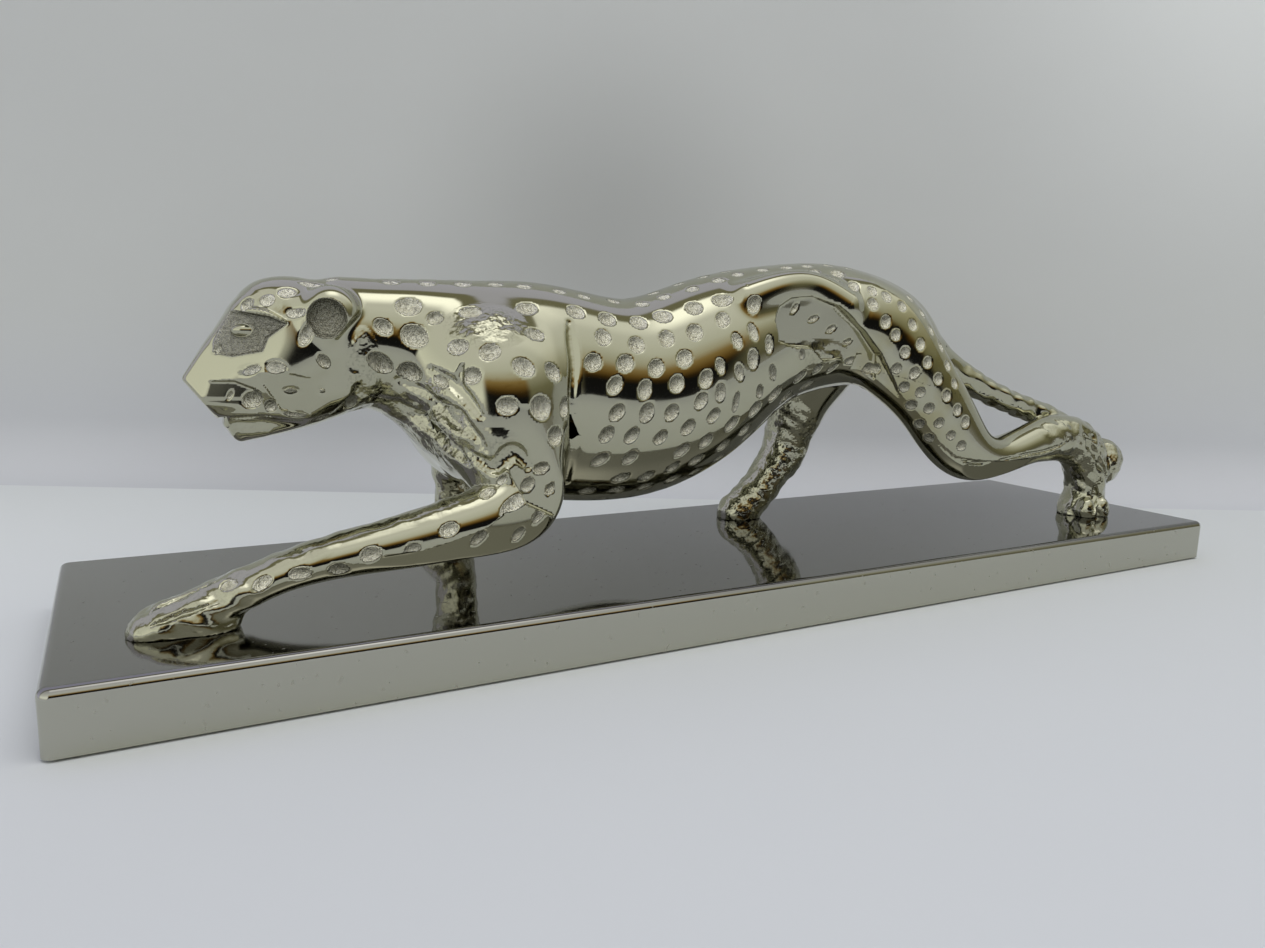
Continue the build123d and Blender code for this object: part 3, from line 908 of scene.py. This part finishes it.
def crossing_means(f, cells):
    """For each cell, the mean of the places where the skin crosses its edges, in cells."""
    total = np.zeros((len(cells), 3))
    hits = np.zeros(len(cells))
    for axis in range(3):
        for a in (0, 1):
            for b in (0, 1):
                start = np.insert([a, b], axis, 0)
                end = start + (np.arange(3) == axis)
                f0 = f[tuple((cells + start).T)]
                f1 = f[tuple((cells + end).T)]
                crossed = (f0 < 0) != (f1 < 0)
                t = np.where(crossed, f0 / np.where(crossed, f0 - f1, 1), 0)
                total[crossed] += (start + t[:, None] * (end - start))[crossed]
                hits[crossed] += 1
    return cells + total / hits[:, None]


def quads_across(inside, number, axis):
    """One quad round each grid edge along an axis that the skin crosses, facing outward."""
    ahead = np.arange(3) == axis
    size = np.array(inside.shape) - ahead
    first = inside[: size[0], : size[1], : size[2]]
    second = inside[tuple(slice(int(s), None) for s in ahead)]
    edges = np.argwhere(first != second)
    others = [i for i in range(3) if i != axis]
    beside = edges[:, others]
    edges = edges[(beside > 0).all(axis=1) & (beside < np.array(number.shape)[others]).all(axis=1)]
    u = (np.arange(3) == others[0]).astype(int)
    v = (np.arange(3) == others[1]).astype(int)
    ring = [number[tuple((edges - a * u - b * v).T)] for a, b in ((0, 0), (1, 0), (1, 1), (0, 1))]
    quads = np.column_stack(ring)
    outward = first[tuple(edges.T)] ^ (axis == 1)
    quads[~outward] = quads[~outward][:, ::-1]
    return quads


def skin(shape, low, high, cell):
    """Points and quads of the field's skin by surface nets: a point in each cell that the skin crosses."""
    f = sample_grid(shape, low, high, cell)
    cells = crossed_cells(f)
    number = np.full(np.array(f.shape) - 1, -1, np.int32)
    number[tuple(cells.T)] = np.arange(len(cells))
    points = np.array(low) + crossing_means(f, cells) * cell
    quads = [quads_across(f < 0, number, axis) for axis in range(3)]
    return points, np.concatenate(quads)


def build_piece(name, points, quads, normals, shade, casting):
    """One closed mesh object of the cat from a share of the skin's quads, with its open rims filled."""
    used, index = np.unique(quads, return_inverse=True)
    mesh = bpy.data.meshes.new(name)
    places = points[used] * MM + (0, 0, PLATE_TOP)
    mesh.from_pydata(places.tolist(), [], index.reshape(quads.shape).tolist())
    for key, values in shade.items():
        layer = mesh.attributes.new(key, "FLOAT", "POINT")
        layer.data.foreach_set("value", values[used].astype(np.float32))
    work = bmesh.new()
    work.from_mesh(mesh)
    rims = [edge for edge in work.edges if edge.is_boundary]
    bmesh.ops.holes_fill(work, edges=rims, sides=0)
    work.to_mesh(mesh)
    work.free()
    mesh.shade_smooth()
    mesh.normals_split_custom_set_from_vertices(normals[used].tolist())
    piece = bpy.data.objects.new(name, mesh)
    bpy.context.scene.collection.objects.link(piece)
    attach(piece, "root")
    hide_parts(casting)


# Pieces and the CAD nodes that they stand for.
CASTINGS = {
    "trunk": "trunk_casting",
    "head": "head_casting",
    "foreleg_left": "left_foreleg",
    "foreleg_right": "right_foreleg",
    "hind_leg_left": "left_hind_leg",
    "hind_leg_right": "right_hind_leg",
    "tail": "tail_casting",
}


def piece_of(p):
    """The name of the piece that each point of the skin, other than the head's, belongs to.

    Each line cuts a limb off the trunk where its casting meets the trunk's.
    """
    x, y, h = p.T
    left = y < -10
    right = y > 10
    piece = np.full(len(p), "trunk", "U20")
    piece[left & (x < -64) & (h < 46)] = "foreleg_left"
    piece[right & (x < -64) & (h < 42)] = "foreleg_right"
    piece[left & (x > 40) & (h < 58 - 0.25 * (x - 40))] = "hind_leg_left"
    piece[right & (x > 15) & (h < np.where(x < 36, 44, 52))] = "hind_leg_right"
    piece[(x > 88) & (h > 44 - 0.32 * (x - 118)) & (y > -30)] = "tail"
    piece[(x > 162) & (h > 12)] = "tail"
    return piece


def meet_seam(shape, points, quads, cell):
    """Moves the open rim of a set of quads, near the neck's seam, onto the seam's plane."""
    sides = np.sort(np.concatenate([quads[:, [i, (i + 1) % 4]] for i in range(4)]), axis=1)
    pairs, uses = np.unique(sides, axis=0, return_counts=True)
    rim = np.unique(pairs[uses == 1])
    rim = rim[np.abs(points[rim, 0] - NECK_SEAM) < 2 * cell]
    p = points[rim]
    p[:, 0] = NECK_SEAM
    for _ in range(4):
        slope = gradient(shape, p) * (0, 1, 1)
        length2 = np.maximum((slope * slope).sum(axis=1), 0.25)
        p -= (shape.distance(p) / length2)[:, None] * slope
    points[rim] = p


def in_head(p):
    return (p[:, 0] < NECK_SEAM) & (p[:, 2] > HEAD_FLOOR)


def skin_part(shape, low, high, cell, wanted):
    """The skin's quads whose middles are wanted: points, quads and normals."""
    points, quads = skin(shape, low, high, cell)
    quads = quads[wanted(points[quads].mean(axis=1))]
    used, index = np.unique(quads, return_inverse=True)
    quads = index.reshape(quads.shape)
    points = in_blocks(shape, points[used], settle)
    meet_seam(shape, points, quads, cell)
    return points, quads, unit(in_blocks(shape, points, gradient))


def build_cat():
    """All the castings."""
    cat, undimpled, cutters, patches = carved_cat(np.random.default_rng(SEED))
    body = skin_part(cat, *BODY_BOX, BODY_CELL, lambda middle: ~in_head(middle))
    face = skin_part(cat, *HEAD_BOX, HEAD_CELL, in_head)
    body_names = piece_of(body[0][body[1]].mean(axis=1))
    face_names = np.full(len(face[1]), "head")
    for (points, quads, normals), names in ((body, body_names), (face, face_names)):
        shade = shades(points, undimpled, cutters, patches)
        for name, casting in CASTINGS.items():
            if (names == name).any():
                build_piece(name, points, quads[names == name], normals, shade, casting)


# --------------------------------------------------------------------------------------------------------
# Materials
# --------------------------------------------------------------------------------------------------------

NICKEL = (0.45, 0.443, 0.33, 1)
# The frost in two copies: painted light where it faces up, painted shade where it faces down.
PAINTED_LIGHT_FROST = (1.0, 0.98, 0.84, 1)
PAINTED_SHADE_FROST = (0.34, 0.335, 0.27, 1)
STAINED_FROST = (0.24, 0.235, 0.185, 1)
TARNISH = (0.40, 0.375, 0.22, 1)
TARNISHED_PLACE = (0.062, -0.022, 0.072)
# Painted shade for pits and for the deep parts of the dimples.
CREVICE_SHADE = (0.10, 0.095, 0.07, 1)
PLATE_METAL = (0.27, 0.265, 0.245, 1)
TAIL_HALF_PLATE_METAL = (0.19, 0.187, 0.178, 1)
# The sheet's sides, coloured lighter than its top: painted light.
SKIRT_PAINTED_LIGHT = (0.475, 0.47, 0.40, 1)
WASHER_STEEL = (0.5, 0.5, 0.5)
SCREW_STEEL = (0.45, 0.45, 0.47)


def connect(tree, shader, inputs):
    """Sets a shader node's inputs. An input is a value or another node's output."""
    for key, value in inputs.items():
        if isinstance(value, bpy.types.NodeSocket):
            tree.links.new(value, shader.inputs[key])
        else:
            shader.inputs[key].default_value = value


def node(tree, kind, inputs=None, **settings):
    """A new shader node with its settings and inputs."""
    made = tree.nodes.new(kind)
    for key, value in settings.items():
        setattr(made, key, value)
    connect(tree, made, inputs or {})
    return made


def noise(tree, coords, scale, detail=3.0):
    inputs = {"Vector": coords, "Scale": scale, "Detail": detail}
    return node(tree, "ShaderNodeTexNoise", inputs).outputs["Fac"]


def ramp(tree, value, low, high, start=0.0, end=1.0):
    """start where value is low, end where it is high, with smooth ends."""
    inputs = {"Value": value, "From Min": low, "From Max": high, "To Min": start, "To Max": end}
    return node(tree, "ShaderNodeMapRange", inputs, interpolation_type="SMOOTHSTEP").outputs["Result"]


def calc(tree, operation, a, b):
    return node(tree, "ShaderNodeMath", {0: a, 1: b}, operation=operation).outputs[0]


def vector(tree, operation, a, b=(0, 0, 0)):
    """Two vectors combined to a vector."""
    return node(tree, "ShaderNodeVectorMath", {0: a, 1: b}, operation=operation).outputs["Vector"]


def measure(tree, operation, a, b):
    """Two vectors' DISTANCE or DOT_PRODUCT."""
    return node(tree, "ShaderNodeVectorMath", {0: a, 1: b}, operation=operation).outputs["Value"]


def scaled(tree, a, factor):
    return node(tree, "ShaderNodeVectorMath", {0: a, "Scale": factor}, operation="SCALE").outputs["Vector"]


def part(tree, a, axis):
    """A vector's X, Y or Z."""
    return node(tree, "ShaderNodeSeparateXYZ", {0: a}).outputs[axis]


def upward(tree):
    """How far the surface faces up: the height of its normal."""
    return part(tree, node(tree, "ShaderNodeNewGeometry").outputs["Normal"], "Z")


def attribute(tree, name):
    return node(tree, "ShaderNodeAttribute", attribute_name=name).outputs["Fac"]


def mix_colours(tree, share, a, b):
    return node(tree, "ShaderNodeMix", {0: share, 6: a, 7: b}, data_type="RGBA").outputs[2]


def bump(tree, height, distance, normal=None):
    inputs = {"Height": height, "Distance": distance, "Strength": 1.0}
    if normal is not None:
        inputs["Normal"] = normal
    return node(tree, "ShaderNodeBump", inputs).outputs["Normal"]


def new_material(name):
    """A material with only a Principled shader: (material, node tree, shader, object coordinates)."""
    material = bpy.data.materials.new(name)
    material.use_nodes = True
    tree = material.node_tree
    coords = node(tree, "ShaderNodeTexCoord").outputs["Object"]
    return material, tree, tree.nodes["Principled BSDF"], coords


def cast_nickel():
    """Polished cast metal: frosted inside the dimples and crumpled where the casting was left lumpy."""
    material, tree, shader, coords = new_material("cast_nickel")
    frosted = attribute(tree, "frosted")
    stained = attribute(tree, "stained")
    lumpy = attribute(tree, "lumpy")
    depth = attribute(tree, "depth")
    grain = noise(tree, coords, 3000, 2)
    pits = noise(tree, coords, 1300, 2)
    crumple = noise(tree, coords, 300, 2)
    smears = noise(tree, coords, 70, 4)
    ragged = calc(tree, "ADD", frosted, calc(tree, "MULTIPLY", calc(tree, "SUBTRACT", pits, 0.5), 0.25))
    frost = ramp(tree, ragged, 0.35, 0.65)
    near_haunch = ramp(tree, measure(tree, "DISTANCE", coords, TARNISHED_PLACE), 0.012, 0.034, 1, 0)
    patchy = calc(tree, "MULTIPLY", ramp(tree, noise(tree, coords, 95, 2), 0.36, 0.6), near_haunch)
    metal = mix_colours(tree, calc(tree, "MULTIPLY", patchy, 0.9), NICKEL, TARNISH)
    # Painted light and painted shade: the frost is lighter where the skin faces up and darker where it faces
    # down.
    frost_with_painted_light = mix_colours(tree, ramp(tree, upward(tree), -0.4, 0.5), PAINTED_SHADE_FROST, PAINTED_LIGHT_FROST)
    frost_with_painted_light = mix_colours(tree, calc(tree, "MULTIPLY", stained, 0.75), frost_with_painted_light, STAINED_FROST)
    metal = mix_colours(tree, calc(tree, "MULTIPLY", frost, 0.9), metal, frost_with_painted_light)
    # Painted shade: the frost and the lumpy patches are darkened in noise pits, and the frost also where it
    # lies deepest below the polished skin.
    pit_shade = calc(tree, "MULTIPLY", ramp(tree, pits, 0.50, 0.36), calc(tree, "MAXIMUM", frost, lumpy))
    deep = calc(tree, "MULTIPLY", depth, frost)
    painted_crevice_shade = calc(tree, "ADD", calc(tree, "MULTIPLY", pit_shade, 0.35), calc(tree, "MULTIPLY", deep, 0.12))
    colour = mix_colours(tree, painted_crevice_shade, metal, CREVICE_SHADE)
    polished = ramp(tree, smears, 0.3, 0.75, 0.05, 0.11)
    dull = calc(tree, "ADD", calc(tree, "MULTIPLY", frost, 0.15), calc(tree, "MULTIPLY", lumpy, 0.10))
    roughness = calc(tree, "ADD", polished, dull)
    crumpled = bump(tree, calc(tree, "MULTIPLY", crumple, lumpy), 0.0009)
    casting = bump(tree, calc(tree, "MULTIPLY", calc(tree, "ADD", grain, pits), frost), 0.00045, crumpled)
    inputs = {"Base Color": colour, "Metallic": 1.0, "Roughness": roughness, "Normal": casting}
    connect(tree, shader, inputs)
    return material


def plinth_sheet():
    """Mirror-polished sheet metal, with faint smears and a slight waviness."""
    material, tree, shader, coords = new_material("plinth_sheet")
    smears = ramp(tree, noise(tree, coords, 28, 5), 0.42, 0.75, 0.035, 0.10)
    specks = ramp(tree, noise(tree, coords, 700, 0), 0.80, 0.84, 0, 0.35)
    waves = bump(tree, noise(tree, coords, 14, 1), 0.00012)
    scratches = bump(tree, noise(tree, coords, 1200, 2), 0.000002, waves)
    roughness = calc(tree, "ADD", smears, specks)
    # The top's metal is darker over its tail half, fading in just in front of the middle.
    toward_tail_half = ramp(tree, part(tree, coords, "X"), -0.10, -0.01)
    plate = mix_colours(tree, toward_tail_half, PLATE_METAL, TAIL_HALF_PLATE_METAL)
    # Painted light: the sheet's sides are coloured lighter than its top, by which way each face points.
    metal = mix_colours(tree, ramp(tree, upward(tree), 0.2, 0.8), SKIRT_PAINTED_LIGHT, plate)
    inputs = {"Base Color": metal, "Metallic": 1.0, "Roughness": roughness, "Normal": scratches}
    connect(tree, shader, inputs)
    return material


def plain_material(name, colour, dark, scale, roughness, height, metallic=0.0):
    """A two-tone noisy surface, for the parts that are hidden under the plinth."""
    material, tree, shader, coords = new_material(name)
    pattern = noise(tree, coords, scale, 4)
    inputs = {
        "Base Color": mix_colours(tree, ramp(tree, pattern, 0.3, 0.7), (*dark, 1), (*colour, 1)),
        "Metallic": metallic,
        "Roughness": ramp(tree, pattern, 0.3, 0.7, roughness, roughness * 0.8),
        "Normal": bump(tree, pattern, height),
    }
    connect(tree, shader, inputs)
    return material


def paint(obj, material):
    if obj.data.materials:
        obj.data.materials[0] = material
    else:
        obj.data.materials.append(material)


def paint_everything():
    nickel = cast_nickel()
    others = {
        "base_shell": plinth_sheet(),
        "base_core": plain_material("board", (0.42, 0.27, 0.15), (0.28, 0.17, 0.09), 160, 0.8, 0.0002),
        "base_felt": plain_material("felt", (0.03, 0.05, 0.04), (0.015, 0.03, 0.02), 900, 0.95, 0.0004),
        "paw_washers": plain_material("washer_steel", WASHER_STEEL, (0.4, 0.4, 0.4), 600, 0.4, 0.00002, 1.0),
        "paw_screws": plain_material("screw_steel", SCREW_STEEL, (0.3, 0.3, 0.3), 600, 0.35, 0.00002, 1.0),
    }
    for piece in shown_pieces():
        if piece.name in CASTINGS:
            paint(piece, nickel)
    for name, material in others.items():
        paint(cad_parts[name], material)


# --------------------------------------------------------------------------------------------------------
# Stage, light and camera
# --------------------------------------------------------------------------------------------------------

FLOOR_COLOUR = (0.71, 0.735, 0.71)
WALL_COLOUR = (0.655, 0.67, 0.672)
FOOT_TINT = (0.98, 0.98, 1.05, 1)
# Lighter and darker places on the paper: place in metres, radius, and what is added to the brightness there.
# On the wall these are painted light at the top right and painted shadow in the middle and at the foot.
FLOOR_PATCHES = [((-0.34, 0.14, 0), 0.30, 0.14)]
WALL_LIGHT_AND_SHADOW = [
    ((0.04, 0.17, 0.13), 0.12, -0.22),
    ((0.34, 0.02, 0.30), 0.22, 0.35),
    ((-0.08, 0.23, 0.0), 0.16, -0.16),
]
WALL_NORMAL = Vector((0.463, 0.886, 0)).normalized()
WALL_DISTANCE = 0.170
WALL_HEIGHT = 0.34
WALL_REACH = 1.6
WALL_FOOT_RADIUS = 0.03
WALL_FOOT_STEPS = 10
WALL_LIFT = 0.0004
FLOOR_REACH = 4.0

PANEL_PLACE = (0.08, -0.36, 0.78)
PANEL_AIM = (-0.08, -0.01, 0.07)
PANEL_SIZE = (0.6, 0.4)
PANEL_WATTS = 1.0
PANEL_COLOUR = (1.0, 1.0, 0.96)

# The room by the sine of the elevation, as the metal mirrors it: on the camera's side, and to either side.
FRONT_ROOM = [
    (-1.0, (0.5, 0.5, 0.5)), (-0.04, (0.3, 0.3, 0.3)), (0.0, (0.012, 0.012, 0.014)),
    (0.21, (0.010, 0.010, 0.010)), (0.26, (0.05, 0.028, 0.008)), (0.32, (0.20, 0.115, 0.03)),
    (0.40, (0.38, 0.26, 0.10)), (0.47, (0.62, 0.58, 0.46)), (0.58, (0.80, 0.81, 0.76)),
    (0.80, (0.95, 0.96, 0.95)), (1.0, (0.9, 0.9, 0.9)),
]
RIGHT_ROOM = [
    (-1.0, (0.5, 0.5, 0.5)), (-0.02, (0.35, 0.35, 0.35)), (0.10, (0.15, 0.14, 0.09)),
    (0.28, (0.24, 0.23, 0.14)), (0.46, (0.55, 0.54, 0.44)), (0.60, (0.82, 0.83, 0.78)),
    (0.80, (0.95, 0.96, 0.95)), (1.0, (0.9, 0.9, 0.9)),
]
LEFT_ROOM = [
    (-1.0, (0.5, 0.5, 0.5)), (-0.02, (0.55, 0.55, 0.55)), (0.15, (1.1, 1.12, 1.05)),
    (0.50, (0.9, 0.92, 0.88)), (1.0, (0.9, 0.9, 0.9)),
]
FRONT_WAY = (0.13, -0.99, 0)
BACK_CEILING = (0.62, 0.62, 0.80, 1)
CEILING_BEAM = (0.25, 0.24, 0.16, 1)
CEILING_LIGHT = (1.0, 1.0, 1.0)
PLAIN_ROOM = (0.42, 0.43, 0.45, 1)


def colour_ramp(tree, value, stops):
    made = node(tree, "ShaderNodeValToRGB", {0: value})
    elements = made.color_ramp.elements
    while len(elements) < len(stops):
        elements.new(0.5)
    for element, (sine, _) in zip(elements, stops):
        element.position = (sine + 1) / 2
    for element, (_, colour) in zip(elements, stops):
        element.color = (*colour, 1)
    return made.outputs["Color"]


def add_world():
    """A pale room. Seen directly it is plain; mirrored, it has a dark gap on the camera's side."""
    world = bpy.data.worlds.new("room")
    world.use_nodes = True
    tree = world.node_tree
    way = node(tree, "ShaderNodeTexCoord").outputs["Generated"]
    flat = vector(tree, "NORMALIZE", vector(tree, "MULTIPLY", way, (1, 1, 0)))
    ahead = measure(tree, "DOT_PRODUCT", flat, FRONT_WAY)
    parts = node(tree, "ShaderNodeSeparateXYZ", {0: way}).outputs
    share = calc(tree, "MULTIPLY", calc(tree, "ADD", parts["Z"], 1.0), 0.5)
    left = colour_ramp(tree, share, LEFT_ROOM)
    right = colour_ramp(tree, share, RIGHT_ROOM)
    sides = mix_colours(tree, ramp(tree, part(tree, flat, "X"), -0.3, 0.1), left, right)
    room = mix_colours(tree, ramp(tree, ahead, 0.82, 0.90), sides, colour_ramp(tree, share, FRONT_ROOM))
    # Across the ceiling, from the camera's side to the back: a soft light, a dark beam, then a grey part.
    lean = calc(tree, "DIVIDE", parts["Y"], calc(tree, "MAXIMUM", parts["Z"], 0.02))
    fading = ramp(tree, parts["X"], 0.22, 0.55, 1.3, 0.2)
    glow = calc(tree, "MULTIPLY", ramp(tree, lean, -0.55, -0.22), fading)
    lit = calc(tree, "MULTIPLY", glow, ramp(tree, parts["X"], -0.25, 0.1))
    room = vector(tree, "ADD", room, scaled(tree, CEILING_LIGHT, lit))
    room = mix_colours(tree, ramp(tree, lean, -0.08, 0.0), room, CEILING_BEAM)
    room = mix_colours(tree, ramp(tree, lean, 0.15, 0.22), room, BACK_CEILING)
    seen_directly = node(tree, "ShaderNodeLightPath").outputs["Is Camera Ray"]
    room = mix_colours(tree, seen_directly, room, PLAIN_ROOM)
    tree.links.new(room, tree.nodes["Background"].inputs["Color"])
    bpy.context.scene.world = world


def stage_material(name, colour, patches, one_sided=False):
    """Matte paper, lighter or darker round places: (place, radius, gain).

    One-sided paper is clear from behind.
    """
    material, tree, shader, coords = new_material(name)
    gain = ramp(tree, noise(tree, coords, 2.2, 2), 0.35, 0.65, 0.97, 1.0)
    # On the wall these places are painted light and painted shadow.
    for place, radius, more in patches:
        away = measure(tree, "DISTANCE", coords, place)
        gain = calc(tree, "ADD", gain, ramp(tree, away, 0.0, radius, more, 0.0))
    tint = mix_colours(tree, ramp(tree, part(tree, coords, "Z"), 0.0, 0.10), FOOT_TINT, (1, 1, 1, 1))
    shade = vector(tree, "MULTIPLY", scaled(tree, colour, gain), tint)
    creases = bump(tree, noise(tree, coords, 5, 3), 0.004)
    inputs = {"Base Color": shade, "Roughness": 0.9, "Normal": creases, "Specular IOR Level": 0.1}
    connect(tree, shader, inputs)
    if one_sided:
        behind = node(tree, "ShaderNodeNewGeometry").outputs["Backfacing"]
        clear = node(tree, "ShaderNodeBsdfTransparent").outputs[0]
        both = node(tree, "ShaderNodeMixShader", {0: behind, 1: shader.outputs[0], 2: clear})
        tree.links.new(both.outputs[0], tree.nodes["Material Output"].inputs["Surface"])
    return material


def stage_piece(name, points, faces, material):
    mesh = bpy.data.meshes.new(name)
    mesh.from_pydata(points, [], faces)
    mesh.shade_smooth()
    mesh.materials.append(material)
    obj = bpy.data.objects.new(name, mesh)
    bpy.context.scene.collection.objects.link(obj)


def add_stage():
    """A pale floor, and a low wall behind that curves up from it."""
    corners = [(x * FLOOR_REACH, y * FLOOR_REACH, 0) for x, y in ((-1, -1), (1, -1), (1, 1), (-1, 1))]
    stage_piece("floor", corners, [(0, 1, 2, 3)], stage_material("floor_paper", FLOOR_COLOUR, FLOOR_PATCHES))
    profile = []
    for i in range(WALL_FOOT_STEPS + 1):
        turn = math.pi / 2 * i / WALL_FOOT_STEPS
        back = WALL_FOOT_RADIUS * (1 - math.sin(turn))
        profile.append((WALL_DISTANCE - back, WALL_LIFT + WALL_FOOT_RADIUS * (1 - math.cos(turn))))
    profile.append((WALL_DISTANCE, WALL_HEIGHT))
    across = Vector((WALL_NORMAL.y, -WALL_NORMAL.x, 0))
    points = []
    for out, height in profile:
        for end in (-WALL_REACH, WALL_REACH):
            points.append(WALL_NORMAL * out + across * end + Vector((0, 0, height)))
    faces = [(2 * i, 2 * i + 1, 2 * i + 3, 2 * i + 2) for i in range(len(profile) - 1)]
    stage_piece("wall", points, faces, stage_material("wall_paper", WALL_COLOUR, WALL_LIGHT_AND_SHADOW, True))


def add_overhead_panel():
    """A soft lamp that lights the paper and stays out of the metal's mirror."""
    data = bpy.data.lights.new("overhead_panel", "AREA")
    data.shape = "RECTANGLE"
    data.size = PANEL_SIZE[0]
    data.size_y = PANEL_SIZE[1]
    data.energy = PANEL_WATTS
    data.color = PANEL_COLOUR
    lamp = bpy.data.objects.new("overhead_panel", data)
    lamp.location = PANEL_PLACE
    lamp.visible_glossy = False
    lamp.rotation_euler = (Vector(PANEL_AIM) - Vector(PANEL_PLACE)).to_track_quat("-Z", "Y").to_euler()
    bpy.context.scene.collection.objects.link(lamp)


def add_camera():
    data = bpy.data.cameras.new("camera")
    data.lens = CAMERA_LENS
    data.sensor_width = 36
    data.clip_start = 0.01
    camera = bpy.data.objects.new("camera", data)
    bpy.context.scene.collection.objects.link(camera)
    ahead = Vector(CAMERA_AHEAD).normalized()
    right = ahead.cross(Vector(CAMERA_UP).normalized()).normalized()
    up = right.cross(ahead)
    turn = Matrix((right, up, -ahead)).transposed()
    camera.matrix_world = Matrix.Translation(CAMERA_PLACE) @ turn.to_4x4()
    bpy.context.scene.camera = camera


build_cat()
paint_everything()
add_world()
add_stage()
add_overhead_panel()
add_camera()
bpy.context.scene.view_settings.view_transform = "Standard"
